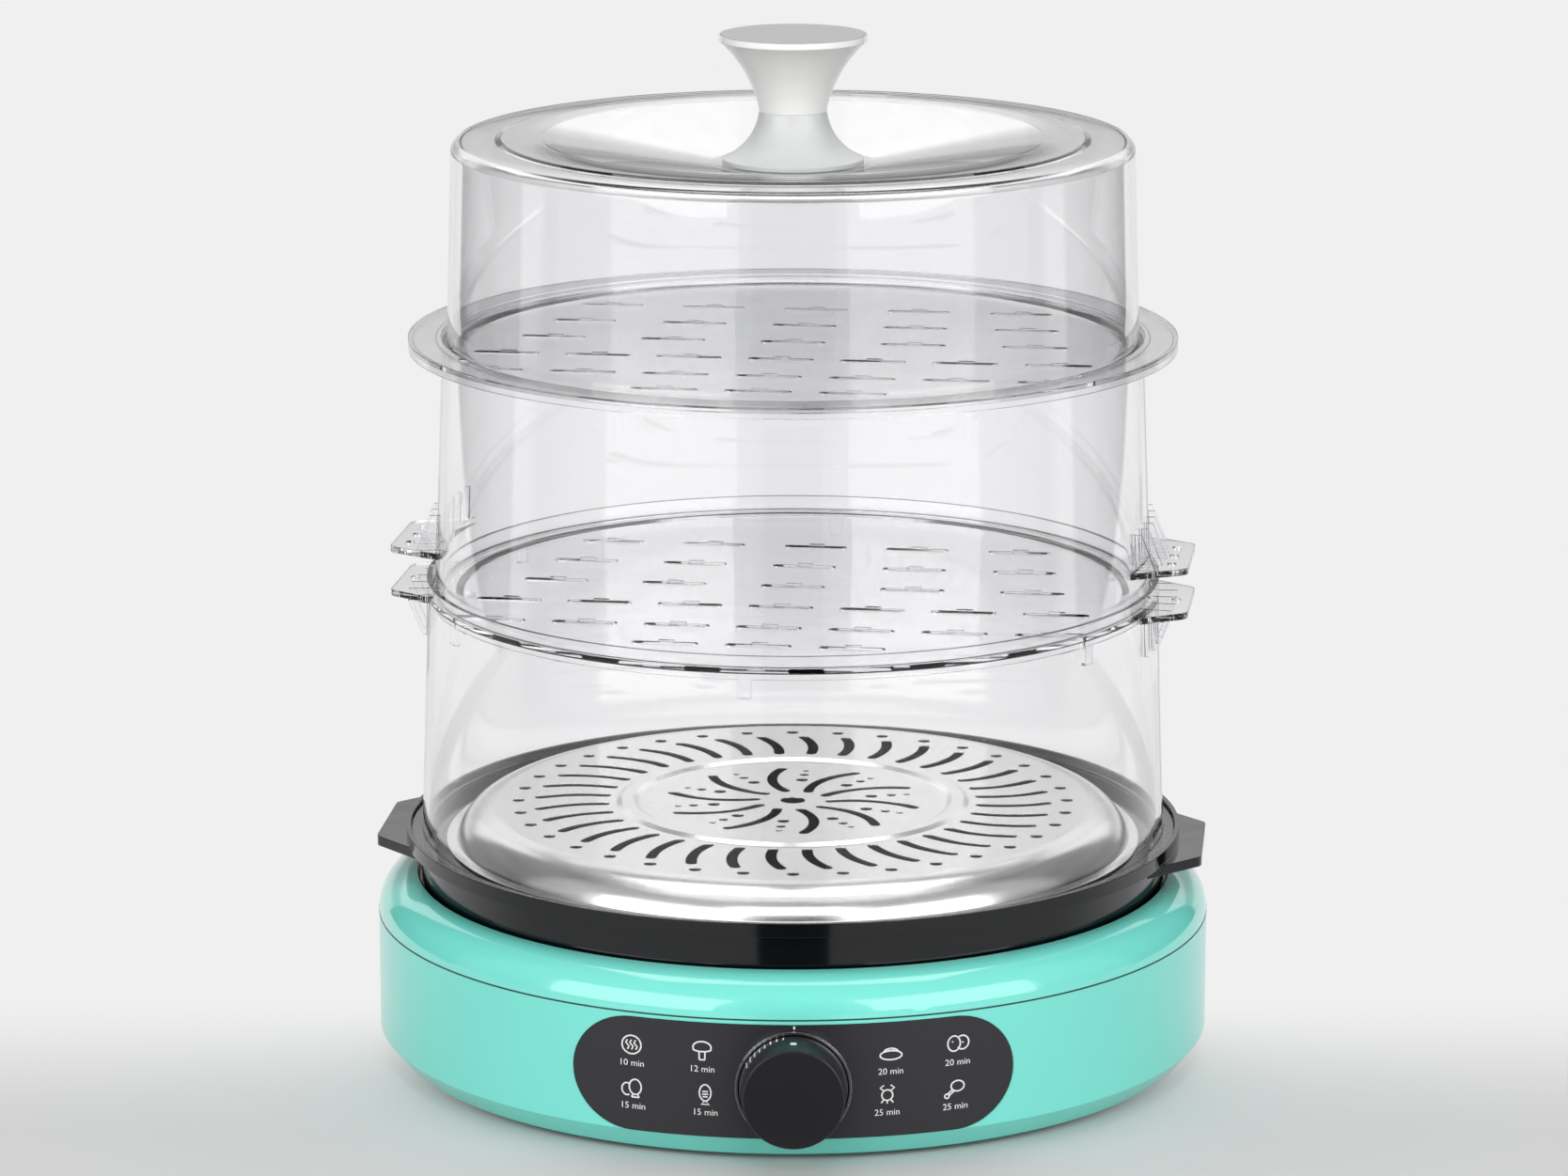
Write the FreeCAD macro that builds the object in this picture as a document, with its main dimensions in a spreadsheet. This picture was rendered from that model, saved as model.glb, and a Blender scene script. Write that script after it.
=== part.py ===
import FreeCAD, Part
import math
import os
import re

import Sketcher

# Electric food steamer: a round heated base with a timer knob, a lift-out water pan with a steel steam
# plate, two clear rings with slotted trays between and above them, and a tall clear cover.
#
# Frame: millimetres, +Z up, the knob looks along -Y. The origin is on the surface that the feet stand on,
# on the axis that the round pieces share.

os.makedirs("parts", exist_ok=True)
doc = FreeCAD.newDocument("food_steamer")
Vec = FreeCAD.Vector

# Driving sizes. Each row is an alias, a plain number and what it measures.

DRIVING_SIZES = [
    # Base housing and its cover
    ("foot_rise", 2.5, "how far the feet lift the base"),
    ("base_radius", 160.0, "outer radius of the base wall"),
    ("base_inset", 6.5, "how far the bottom edge draws in"),
    ("inset_rise", 7.9, "height of the drawn-in bottom edge"),
    ("wall_height", 52.8, "base bottom to the seam with the cover"),
    ("base_wall", 2.6, "thickness of the base wall"),
    ("flange_width", 5.5, "inward flange that carries the bottom plate"),
    ("shoulder_radius", 14.9, "rounding of the cover's shoulder"),
    ("cover_wall", 2.4, "thickness of the cover"),
    ("well_drop", 33.2, "opening edge down to the well floor"),
    ("shelf_drop", 11.0, "opening edge down to the shelf in the well"),
    ("well_gap", 2.5, "gap between the bowl and the well under its shelf"),
    ("lip_depth", 4.0, "locating lip under the seam"),
    ("fit_gap", 0.3, "clearance between parts that fit together"),
    # Fixings of the base
    ("post_inset", 35.0, "radius on which the screw posts stand, as an inset from the base's radius"),
    ("post_radius", 4.5, "radius of a screw post"),
    ("pilot_radius", 1.5, "bore for the screws in the posts"),
    ("pilot_depth", 16.0, "depth of that bore"),
    ("bottom_thickness", 2.2, "thickness of the bottom plate"),
    ("screw_head_radius", 3.6, "radius of a base screw's head"),
    ("screw_head_height", 1.9, "height of a base screw's head"),
    ("screw_length", 15.0, "length of a base screw under its head"),
    ("foot_inset", 26.0, "radius on which the feet stand, as an inset from the base's radius"),
    ("foot_radius", 8.0, "radius of a foot"),
    # Control panel and knob
    ("panel_length", 161.0, "straight length of the panel, end to end"),
    ("panel_width", 43.0, "height of the panel"),
    ("panel_height", 32.0, "height of the panel's middle line above the surface"),
    ("panel_depth", 1.2, "how deep the panel is let into the wall"),
    ("panel_proud", 0.4, "how far the panel stands proud of the wall"),
    ("knob_height", 30.5, "height of the knob's axis"),
    ("knob_radius", 19.9, "radius of the knob at the panel"),
    ("knob_face_radius", 18.7, "radius of the knob's face"),
    ("knob_reach", 16.5, "how far the knob stands off the panel"),
    ("knob_wall", 2.0, "wall of the knob's cup"),
    ("knob_rear_gap", 0.9, "running gap behind the knob"),
    ("bezel_radius", 21.2, "outer radius of the ring round the knob"),
    ("bezel_wall", 0.9, "wall of that ring"),
    ("bezel_proud", 2.2, "how far that ring stands off the panel"),
    ("shaft_radius", 3.0, "radius of the timer's shaft"),
    ("shaft_play", 0.05, "radial play of the shaft in the timer"),
    ("hub_wall", 2.2, "wall of the knob's hub"),
    ("timer_side", 40.0, "width and height of the timer's case"),
    ("timer_depth", 22.0, "depth of the timer's case"),
    ("timer_offset", 0.4, "how far the case sits above the shaft's middle"),
    ("timer_neck_radius", 5.0, "radius of the timer's threaded neck"),
    # Heater
    ("heater_radius", 86.0, "radius of the hot plate"),
    ("heater_rim", 8.0, "rim by which the hot plate hangs in the well"),
    ("heater_rim_thickness", 2.4, "thickness of that rim"),
    ("heater_rise", 5.0, "well floor to the hot plate's top"),
    ("heater_thickness", 12.0, "thickness of the hot plate"),
    ("element_circle", 62.0, "radius of the heating ring"),
    ("element_radius", 4.0, "radius of the heating ring's tube"),
    ("pin_radius", 2.0, "radius of the heating ring's end pins"),
    ("pin_length", 7.0, "length of those pins"),
    ("thermostat_radius", 9.0, "radius of the thermostat"),
    ("thermostat_height", 8.0, "height of the thermostat"),
    ("fuse_radius", 2.5, "radius of the thermal fuse"),
    ("fuse_length", 18.0, "length of the thermal fuse"),
    ("fuse_place", 30.0, "place of the thermal fuse off the axis"),
    ("strap_width", 8.0, "width of the strap that holds the fuse"),
    ("strap_thickness", 1.0, "thickness of that strap"),
    ("shield_inset", 60.0, "radius of the heat shield, as an inset from the base's radius"),
    ("shield_height", 12.0, "height of the heat shield over the bottom plate"),
    ("shield_thickness", 0.8, "thickness of the heat shield"),
    ("shield_post_radius", 3.0, "radius of the shield's posts"),
    ("shield_post_inset", 72.0, "radius on which those posts stand, as an inset from the base's radius"),
    # Mains entry
    ("terminal_length", 34.0, "length of the terminal block"),
    ("terminal_depth", 16.0, "depth of the terminal block"),
    ("terminal_height", 14.0, "height of the terminal block"),
    ("terminal_inset", 32.0, "place of the terminal block behind the axis, as an inset from the base's radius"),
    ("inlet_height", 22.0, "height of the mains inlet"),
    ("inlet_radius", 6.5, "radius of the inlet bush in the wall"),
    ("inlet_bore", 3.6, "bore of the inlet bush"),
    ("inlet_collar", 9.5, "radius of the bush's collars"),
    ("inlet_collar_thickness", 2.0, "thickness of each collar"),
    # Water pan
    ("pan_rim_inset", 11.0, "outer radius of the pan's rim, as an inset from the base's radius"),
    ("pan_rim_wall", 1.7, "wall of the rim"),
    ("pan_height", 46.5, "height of the pan"),
    ("pan_collar", 5.3, "height of the pan's thick collar"),
    ("pan_skirt_inset", 16.8, "outer radius of the skirt that dips into the base, as an inset from the base's radius"),
    ("pan_skirt_depth", 19.2, "how far the skirt hangs below the collar"),
    ("pan_wall", 2.2, "thickness of the pan"),
    ("pan_bowl_inset", 32.5, "outer radius of the bowl, as an inset from the base's radius"),
    ("pan_foot_inset", 42.0, "radius of the bowl's flat bottom, as an inset from the base's radius"),
    ("pan_corner", 8.0, "rounding at the foot of the bowl"),
    ("ring_seat_depth", 3.5, "rim top down to the seat of the clear ring"),
    ("plate_seat_depth", 2.0, "further step down to the steam plate's seat"),
    ("pan_ear_inset", 1.5, "how far out a pan handle reaches, as an inset from the base's radius"),
    ("pan_ear_root", 46.0, "half width of a pan handle at the collar"),
    ("pan_ear_tip", 25.0, "half width of a pan handle at its end"),
    ("pan_ear_thickness", 3.0, "thickness of a pan handle"),
    ("pan_ear_turn", 5.5, "turn of the pan's handles, in degrees"),
    # Steam plate
    ("plate_inset", 26.5, "outer radius of the steam plate, as an inset from the base's radius"),
    ("plate_foot_width", 4.0, "flat foot round the steam plate"),
    ("plate_flat_inset", 45.5, "radius of the flat top, as an inset from the base's radius"),
    ("plate_height", 12.5, "height of the steam plate"),
    ("plate_thickness", 0.8, "thickness of the sheet"),
    ("bead_inner_inset", 55.0, "inner radius of the raised ring, as an inset from the plate's flat radius"),
    ("bead_outer_inset", 46.5, "outer radius of the raised ring, as an inset from the plate's flat radius"),
    ("bead_slope", 2.0, "width of the ring's slopes"),
    ("bead_rise", 1.2, "height of the raised ring"),
    ("slot_count", 36.0, "slots and holes round the plate"),
    ("slot_width", 4.2, "width of a curved slot"),
    ("slot_bend", 39.8, "bending radius of a slot's middle line"),
    ("slot_inner_inset", 42.0, "radial place of a slot's inner end, as an inset from the plate's flat radius"),
    ("slot_inner_side", -7.4, "sideways place of a slot's inner end"),
    ("slot_outer_inset", 16.7, "radial place of a slot's outer end, as an inset from the plate's flat radius"),
    ("slot_outer_side", -4.5, "sideways place of a slot's outer end"),
    ("hole_inset", 8.6, "radius on which the small holes lie, as an inset from the plate's flat radius"),
    ("hole_radius", 2.35, "radius of a small hole"),
    ("petal_count", 10.0, "long slots in the middle of the plate"),
    ("petal_width", 4.0, "width of a long slot"),
    ("petal_bend", 33.0, "bending radius of a long slot's middle line"),
    ("petal_inner_out", 14.5, "radial place of its inner end"),
    ("petal_inner_side", -1.6, "sideways place of its inner end"),
    ("petal_outer_out", 46.5, "radial place of its outer end"),
    ("petal_outer_side", -10.8, "sideways place of its outer end"),
    ("petal_start", 0.0, "turn of the first long slot, in degrees"),
    ("dot_turn", 11.3, "turn of the first row of dots, in degrees"),
    ("dot_near", 31.0, "radius of the near dot"),
    ("dot_middle", 39.0, "radius of the middle dot"),
    ("dot_far", 45.0, "radius of the far dot"),
    ("dot_large", 2.35, "radius of the largest dot"),
    ("dot_step", 0.55, "how much smaller each next dot is"),
    ("centre_hole", 4.8, "radius of the hole in the middle"),
    # Clear rings
    ("clear_wall", 2.2, "wall of the clear rings and the cover"),
    ("ring_height", 94.5, "height of one clear ring"),
    ("lower_foot_inset", 17.2, "outer radius of the lower ring at its foot, as an inset from the base's radius"),
    ("lower_top_inset", 20.3, "outer radius of the lower ring at its top, as an inset from the base's radius"),
    ("ring_flange_inset", 13.1, "outer radius of the lower ring's flange, as an inset from the base's radius"),
    ("ring_flange_thickness", 2.0, "thickness of that flange"),
    ("middle_foot_inset", 23.2, "outer radius of the upper ring at its foot, as an inset from the base's radius"),
    ("middle_top_inset", 26.9, "outer radius of the upper ring at its top, as an inset from the base's radius"),
    ("ear_turn", 7.5, "turn of the rings' handles, in degrees"),
    ("ear_inset", 7.4, "how far out a ring handle reaches, as an inset from the base's radius"),
    ("ear_root", 35.0, "half width of a ring handle at the wall"),
    ("ear_tip", 22.0, "half width of a ring handle at its end"),
    ("ear_corner", 5.0, "rounding of the handles' corners"),
    ("ear_thickness", 2.5, "thickness of a ring handle"),
    ("ear_height", 12.8, "height of the upper ring's handles above its foot"),
    ("ear_hole_radius", 1.8, "radius of the hole in a handle"),
    ("ear_hole_inset", 13.0, "radial place of that hole, as an inset from the base's radius"),
    ("ear_hole_pitch", 14.2, "pitch of the three holes in an upper handle"),
    ("rib_height", 13.5, "height of a handle's ribs"),
    ("rib_depth", 7.5, "depth of a rib at the handle"),
    ("rib_thickness", 1.2, "thickness of a rib"),
    ("rib_pitch", 4.6, "turn from one rib to the next, in degrees"),
    ("rib_count", 6.0, "ribs at one handle"),
    # Trays
    ("tray_lip_gap", 0.6, "clearance of a tray's locating edge in a ring"),
    ("tray_seat", 1.7, "thickness of a tray where the next tier stands"),
    ("tray_rim_inset", 20.0, "outer radius of the lower tray, as an inset from the base's radius"),
    ("tray_rim_height", 6.6, "height of the lower tray's rim"),
    ("tray_rim_wall", 1.8, "wall of that rim"),
    ("tray_floor_rise", 0.8, "height of the lower tray's floor over its underside"),
    ("tray_floor_thickness", 1.8, "thickness of a tray's floor"),
    ("tray_floor_inset", 34.0, "radius where the floor rises to the seat, as an inset from the base's radius"),
    ("tray_lip_depth", 2.0, "depth of the locating edge below the floor"),
    ("tray_lip_wall", 2.2, "wall of the locating edge"),
    ("tab_count", 6.0, "locating tabs under the lower tray"),
    ("tab_depth", 9.0, "how far a tab hangs down"),
    ("tab_width", 5.0, "width of a tab"),
    ("tab_thickness", 2.0, "thickness of a tab"),
    ("tab_turn", 30.0, "turn of the first tab, in degrees"),
    ("upper_flange_inset", 14.1, "outer radius of the upper tray's flange, as an inset from the base's radius"),
    ("upper_flange_height", 3.2, "height of that flange over the ring's top"),
    ("upper_flange_thickness", 2.0, "thickness of that flange"),
    ("upper_skirt_depth", 4.4, "height of the flange's turned-down edge"),
    ("cover_seat_inset", 26.6, "radius of the edge round the cover's seat, as an inset from the base's radius"),
    ("upper_floor_drop", 1.8, "drop from the cover's seat to the upper floor"),
    ("upper_floor_inset", 36.0, "radius of the upper tray's floor, as an inset from the base's radius"),
    ("tray_slot_length", 24.6, "length of a tray slot"),
    ("tray_slot_width", 3.8, "width of a tray slot"),
    ("notch_width", 6.0, "width of the small hole behind a slot"),
    ("notch_depth", 1.8, "depth of that hole"),
    ("notch_gap", 1.4, "web between a slot and that hole"),
    # Cover and its knob
    ("cover_foot_inset", 28.7, "outer radius of the cover at its foot, as an inset from the base's radius"),
    ("cover_top_inset", 31.0, "outer radius of the cover at its shoulder, as an inset from the base's radius"),
    ("cover_height", 76.0, "height of the cover's rim over its foot"),
    ("cover_corner", 3.4, "rounding of the cover's top edge"),
    ("step_inset", 48.0, "radius of the step on the cover, as an inset from the base's radius"),
    ("step_width", 1.6, "width of that step"),
    ("step_rise", 1.0, "height of that step"),
    ("dish_inset", 65.0, "radius where the dish begins, as an inset from the base's radius"),
    ("dish_flat_radius", 31.0, "radius of the flat under the knob"),
    ("dish_drop", 9.0, "cover rim down to that flat"),
    ("vent_length", 17.0, "length of the steam vent"),
    ("vent_width", 3.0, "width of the steam vent"),
    ("vent_inset", 41.0, "radial place of the steam vent, as an inset from the base's radius"),
    ("vent_turn", 75.0, "turn of the steam vent, in degrees"),
    ("grip_foot_radius", 26.7, "radius of the knob's foot"),
    ("grip_foot_edge", 1.6, "height of that foot's edge"),
    ("grip_waist_radius", 12.8, "radius of the knob's waist"),
    ("grip_seam_height", 19.4, "height of the seam in the waist"),
    ("grip_foot_bend", 22.0, "radius of the foot's hollow curve"),
    ("grip_top_radius", 28.0, "radius of the knob's top"),
    ("grip_height", 48.4, "height of the cover's knob"),
    ("grip_rim", 2.2, "height of the knob's straight rim"),
    ("grip_bend", 47.0, "radius of the grip's hollow curve"),
    ("cap_radius", 27.3, "radius of the flat cap on the knob"),
    ("cap_recess", 0.8, "how deep the cap is let in"),
    ("cap_thickness", 1.0, "thickness of the cap"),
    ("grip_screw_radius", 2.0, "radius of the knob's screw"),
    ("grip_screw_reach", 26.0, "length of the screw above the cover's inside"),
    ("grip_head_radius", 5.0, "radius of that screw's head"),
    ("grip_head_height", 2.4, "height of that screw's head"),
    ("washer_radius", 9.0, "radius of the washer under the cover"),
    ("washer_thickness", 1.2, "thickness of that washer"),
]

# Rows of slots in a tray's floor: place of the row behind the axis, slots in it and the pitch of the slots.

TRAY_ROWS = [
    ("row_a", 70.0, 5.0, 40.5),
    ("row_b", 35.0, 5.0, 43.0),
    ("row_c", 0.0, 5.0, 46.0),
    ("row_d", -35.0, 7.0, 34.6),
    ("row_e", -69.0, 7.0, 34.6),
    ("row_f", -98.0, 3.0, 34.6),
]
for row_name, row_place, row_slots, row_pitch in TRAY_ROWS:
    DRIVING_SIZES.append((row_name + "_place", row_place, "place of this row of tray slots"))
    DRIVING_SIZES.append((row_name + "_count", row_slots, "slots in this row"))
    DRIVING_SIZES.append((row_name + "_pitch", row_pitch, "pitch of the slots in this row"))

sheet = doc.addObject("Spreadsheet::Sheet", "Sizes")
ALIASES = set()
for line, (alias, number, meaning) in enumerate(DRIVING_SIZES, start=1):
    sheet.set("A%d" % line, alias)
    sheet.set("B%d" % line, str(number))
    sheet.setAlias("B%d" % line, alias)
    sheet.set("C%d" % line, meaning)
    ALIASES.add(alias)
doc.recompute()

# Radii and places that follow another size. Each is the inset of the same stem, taken from that size.

FOLLOWING = {
    "well_radius": "(pan_bowl_radius + well_gap)",
    "post_circle": "(base_radius - post_inset)",
    "foot_circle": "(base_radius - foot_inset)",
    "terminal_place": "(base_radius - terminal_inset)",
    "pan_rim_radius": "(base_radius - pan_rim_inset)",
    "pan_skirt_radius": "(base_radius - pan_skirt_inset)",
    "pan_bowl_radius": "(base_radius - pan_bowl_inset)",
    "pan_foot_radius": "(base_radius - pan_foot_inset)",
    "pan_ear_reach": "(base_radius - pan_ear_inset)",
    "plate_radius": "(base_radius - plate_inset)",
    "plate_flat_radius": "(base_radius - plate_flat_inset)",
    "lower_foot_radius": "(base_radius - lower_foot_inset)",
    "lower_top_radius": "(base_radius - lower_top_inset)",
    "ring_flange_radius": "(base_radius - ring_flange_inset)",
    "middle_foot_radius": "(base_radius - middle_foot_inset)",
    "middle_top_radius": "(base_radius - middle_top_inset)",
    "ear_reach": "(base_radius - ear_inset)",
    "ear_hole_place": "(base_radius - ear_hole_inset)",
    "tray_rim_radius": "(base_radius - tray_rim_inset)",
    "tray_floor_radius": "(base_radius - tray_floor_inset)",
    "upper_flange_radius": "(base_radius - upper_flange_inset)",
    "cover_seat_edge": "(base_radius - cover_seat_inset)",
    "upper_floor_radius": "(base_radius - upper_floor_inset)",
    "cover_foot_radius": "(base_radius - cover_foot_inset)",
    "cover_top_radius": "(base_radius - cover_top_inset)",
    "step_radius": "(base_radius - step_inset)",
    "dish_radius": "(base_radius - dish_inset)",
    "vent_place": "(base_radius - vent_inset)",
    "shield_radius": "(base_radius - shield_inset)",
    "shield_post_circle": "(base_radius - shield_post_inset)",
    "hole_circle": "(plate_flat_radius - hole_inset)",
    "slot_outer_out": "(plate_flat_radius - slot_outer_inset)",
    "slot_inner_out": "(plate_flat_radius - slot_inner_inset)",
    "bead_outer": "(plate_flat_radius - bead_outer_inset)",
    "bead_inner": "(plate_flat_radius - bead_inner_inset)",
}


def followed(text):
    """Write out each following size by the sizes that it comes from."""
    while True:
        longer = re.sub(r"[A-Za-z_]\w*", lambda word: FOLLOWING.get(word.group(0), word.group(0)), text)
        if longer == text:
            return text
        text = longer


# Derived heights and radii, as expressions over the sheet.

seam_height = "(foot_rise + wall_height)"
opening_height = "(%s + shoulder_radius)" % seam_height
opening_radius = "(base_radius - shoulder_radius - 0.8)"
well_floor = "(%s - well_drop)" % opening_height
well_shelf = "(%s - shelf_drop)" % opening_height
plate_under = "(foot_rise + base_wall)"
plate_over = "(%s + bottom_thickness)" % plate_under
heater_top = "(%s + heater_rise)" % well_floor
heater_under = "(%s - heater_thickness)" % heater_top
panel_face = "(base_radius + panel_proud)"
pan_bottom = heater_top
ring_seat_local = "(pan_height - ring_seat_depth)"
plate_seat_local = "(pan_height - ring_seat_depth - plate_seat_depth)"
lower_ring_bottom = "(%s + %s)" % (pan_bottom, ring_seat_local)
lower_tray_bottom = "(%s + ring_height)" % lower_ring_bottom
middle_ring_bottom = "(%s + tray_seat)" % lower_tray_bottom
upper_tray_bottom = "(%s + ring_height)" % middle_ring_bottom
cover_bottom = "(%s + tray_seat)" % upper_tray_bottom
grip_bottom = "(%s + cover_height - dish_drop)" % cover_bottom
lower_lip_radius = "(lower_top_radius - clear_wall - tray_lip_gap)"
upper_lip_radius = "(middle_top_radius - clear_wall - tray_lip_gap)"


def bound(text):
    """Name the sheet in front of each of its aliases."""
    return re.sub(r"[A-Za-z_]\w*", lambda word: "Sizes." + word.group(0)
                  if word.group(0) in ALIASES else word.group(0), followed(text))


def number(text):
    """The present value of an expression over the sheet."""
    return float(sheet.evalExpression(followed(text)))


def origin_plane(body, role):
    return [feature for feature in body.Origin.OriginFeatures if feature.Role == role][0]


def new_body(label, raised="0", turned="0"):
    """A body whose placement lifts it by one expression and turns it about +Z by another."""
    body = doc.addObject("PartDesign::Body", label)
    body.Label = label
    body.Placement = FreeCAD.Placement(Vec(0, 0, 0), FreeCAD.Rotation(Vec(0, 0, 1), 0))
    body.setExpression("Placement.Base.z", bound(raised))
    if turned != "0":
        body.Placement = FreeCAD.Placement(Vec(0, 0, number(raised)),
                                           FreeCAD.Rotation(Vec(0, 0, 1), number(turned)))
        body.setExpression("Placement.Rotation.Angle", bound(turned))
    return body


def new_sketch(body, name, role="XY_Plane", raised="0"):
    sketch = body.newObject("Sketcher::SketchObject", name)
    sketch.AttachmentSupport = [(origin_plane(body, role), "")]
    sketch.MapMode = "FlatFace"
    if raised != "0":
        sketch.setExpression("AttachmentOffset.Base.z", bound(raised))
    return sketch


def drive(sketch, kind, references, text):
    """Add one constraint and tie its value to an expression."""
    index = sketch.addConstraint(Sketcher.Constraint(kind, *references, number(text)))
    sketch.setExpression("Constraints[%d]" % index, bound(text))


def outline(sketch, corners):
    """Closed outline. A corner is (x, y), or (x, y, radius) where an arc runs on to the next corner.

    A positive radius bows to the left of the way round, a negative one to the right.
    """
    first = sketch.GeometryCount
    count = len(corners)
    places = [Vec(number(corner[0]), number(corner[1]), 0) for corner in corners]
    for index, corner in enumerate(corners):
        start, end = places[index], places[(index + 1) % count]
        if len(corner) == 2:
            sketch.addGeometry(Part.LineSegment(start, end))
            continue
        radius = number(corner[2])
        chord = end - start
        offset = math.sqrt(max(radius * radius - chord.Length ** 2 / 4.0, 0.0))
        side = Vec(-chord.y, chord.x, 0).normalize() * (1 if radius > 0 else -1)
        centre = (start + end) * 0.5 - side * offset
        low, high = (end, start) if radius > 0 else (start, end)
        from_angle = math.atan2(low.y - centre.y, low.x - centre.x)
        to_angle = math.atan2(high.y - centre.y, high.x - centre.x)
        if to_angle < from_angle:
            to_angle += 2 * math.pi
        circle = Part.Circle(centre, Vec(0, 0, 1), abs(radius))
        sketch.addGeometry(Part.ArcOfCircle(circle, from_angle, to_angle))
    for index, corner in enumerate(corners):
        here, there = first + index, first + (index + 1) % count
        reversed_arc = len(corner) == 3 and number(corner[2]) > 0
        next_reversed = len(corners[(index + 1) % count]) == 3 and number(corners[(index + 1) % count][2]) > 0
        end_point = 1 if reversed_arc else 2
        start_point = 2 if next_reversed else 1
        sketch.addConstraint(Sketcher.Constraint("Coincident", here, end_point, there, start_point))
        own_start = 2 if reversed_arc else 1
        drive(sketch, "DistanceX", (-1, 1, here, own_start), corner[0])
        drive(sketch, "DistanceY", (-1, 1, here, own_start), corner[1])
        if len(corner) == 3:
            drive(sketch, "Radius", (here,), "abs(%s)" % corner[2])


def turned(body, name, corners):
    """A solid of revolution about +Z from an outline of (radius, height) corners."""
    sketch = new_sketch(body, name + "_profile", "XZ_Plane")
    outline(sketch, corners)
    feature = body.newObject("PartDesign::Revolution", name)
    feature.Profile = sketch
    feature.ReferenceAxis = (sketch, ["V_Axis"])
    feature.Angle = 360
    doc.recompute()
    return feature


def ring_of(sketch, radius, centre=("0", "0")):
    index = sketch.addGeometry(Part.Circle(Vec(number(centre[0]), number(centre[1]), 0), Vec(0, 0, 1),
                                           number(radius)))
    drive(sketch, "Radius", (index,), radius)
    drive(sketch, "DistanceX", (-1, 1, index, 3), centre[0])
    drive(sketch, "DistanceY", (-1, 1, index, 3), centre[1])


def padded(body, name, sketch, height, downward=False):
    feature = body.newObject("PartDesign::Pad", name)
    feature.Profile = sketch
    feature.setExpression("Length", bound(height))
    feature.Reversed = downward
    doc.recompute()
    return feature


def pocketed(body, name, sketch, depth=None, upward=False):
    """A cut from the sketch, through all where no depth is given. It must take material away."""
    before = body.Shape.Volume
    feature = body.newObject("PartDesign::Pocket", name)
    feature.Profile = sketch
    feature.Reversed = upward
    if depth is None:
        feature.Type = 1
        feature.Midplane = True
    else:
        feature.setExpression("Length", bound(depth))
    doc.recompute()
    if not body.Shape.Volume < before:
        raise RuntimeError(name + " cuts nothing")
    return feature


def spun(body, name, features, count, angle="360"):
    """A polar pattern of features about +Z."""
    pattern = body.newObject("PartDesign::PolarPattern", name)
    pattern.Originals = features
    pattern.Axis = (features[0].Profile[0], ["N_Axis"])
    pattern.setExpression("Angle", bound(angle))
    pattern.setExpression("Occurrences", bound(count))
    body.Tip = pattern
    doc.recompute()
    return pattern


def repeated(body, name, features, length, count):
    """A linear pattern of features along the sketch's horizontal axis."""
    pattern = body.newObject("PartDesign::LinearPattern", name)
    pattern.Originals = features
    pattern.Direction = (features[0].Profile[0], ["H_Axis"])
    pattern.setExpression("Length", bound(length))
    pattern.setExpression("Occurrences", bound(count))
    body.Tip = pattern
    doc.recompute()
    return pattern


def placed(feature, side="0", back="0", up="0", rotation=None):
    """Place a primitive by expressions."""
    feature.Placement = FreeCAD.Placement(Vec(0, 0, 0), rotation or FreeCAD.Rotation())
    feature.setExpression("Placement.Base.x", bound(side))
    feature.setExpression("Placement.Base.y", bound(back))
    feature.setExpression("Placement.Base.z", bound(up))
    return feature


def cylinder(name, radius, height, side="0", back="0", up="0", rotation=None):
    feature = doc.addObject("Part::Cylinder", name)
    feature.setExpression("Radius", bound(radius))
    feature.setExpression("Height", bound(height))
    return placed(feature, side, back, up, rotation)


def block(name, length, depth, height, side="0", back="0", up="0"):
    feature = doc.addObject("Part::Box", name)
    feature.setExpression("Length", bound(length))
    feature.setExpression("Width", bound(depth))
    feature.setExpression("Height", bound(height))
    return placed(feature, side, back, up)


def less(name, base, tool):
    feature = doc.addObject("Part::Cut", name)
    feature.Base = base
    feature.Tool = tool
    return feature


def joined(name, shapes):
    feature = doc.addObject("Part::MultiFuse", name)
    feature.Shapes = shapes
    return feature


def shared(name, base, tool):
    feature = doc.addObject("Part::Common", name)
    feature.Base = base
    feature.Tool = tool
    return feature


FRONTWARD = FreeCAD.Rotation(Vec(1, 0, 0), 90)
NODES = []


def node(feature, label):
    """Keep a finished object as one sub-part."""
    feature.Label = label
    NODES.append(feature)
    return feature


# Base housing: a shallow round wall, drawn in at the bottom, with an inward flange for the bottom plate.

housing_body = new_body("base_housing_shell")
turned(housing_body, "wall", [
    ("base_radius - base_inset - flange_width", "foot_rise"),
    ("base_radius - base_inset", "foot_rise"),
    ("base_radius", "foot_rise + inset_rise"),
    ("base_radius", seam_height),
    ("base_radius - base_wall", seam_height),
    ("base_radius - base_wall", "foot_rise + inset_rise + base_wall / 2"),
    ("base_radius - base_inset - base_wall / 2", plate_under),
    ("base_radius - base_inset - flange_width", plate_under),
])


def pill(name, grow):
    """The panel's outline as a prism that runs forward from the axis."""
    half = "(panel_width / 2 + %s)" % grow
    straight = "(panel_length - panel_width)"
    reach = "(base_radius + 20)"
    slab = block(name + "_slab", straight, reach, "2 * " + half, "-%s / 2" % straight, "-" + reach,
                 "panel_height - " + half)
    left = cylinder(name + "_left", half, reach, "-%s / 2" % straight, "0", "panel_height", FRONTWARD)
    right = cylinder(name + "_right", half, reach, "%s / 2" % straight, "0", "panel_height", FRONTWARD)
    return joined(name, [slab, left, right])


def bore(name, radius):
    """A bore along the knob's axis through the wall and the panel."""
    return cylinder(name, radius, "base_radius + 20", "0", "0", "knob_height", FRONTWARD)


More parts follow.
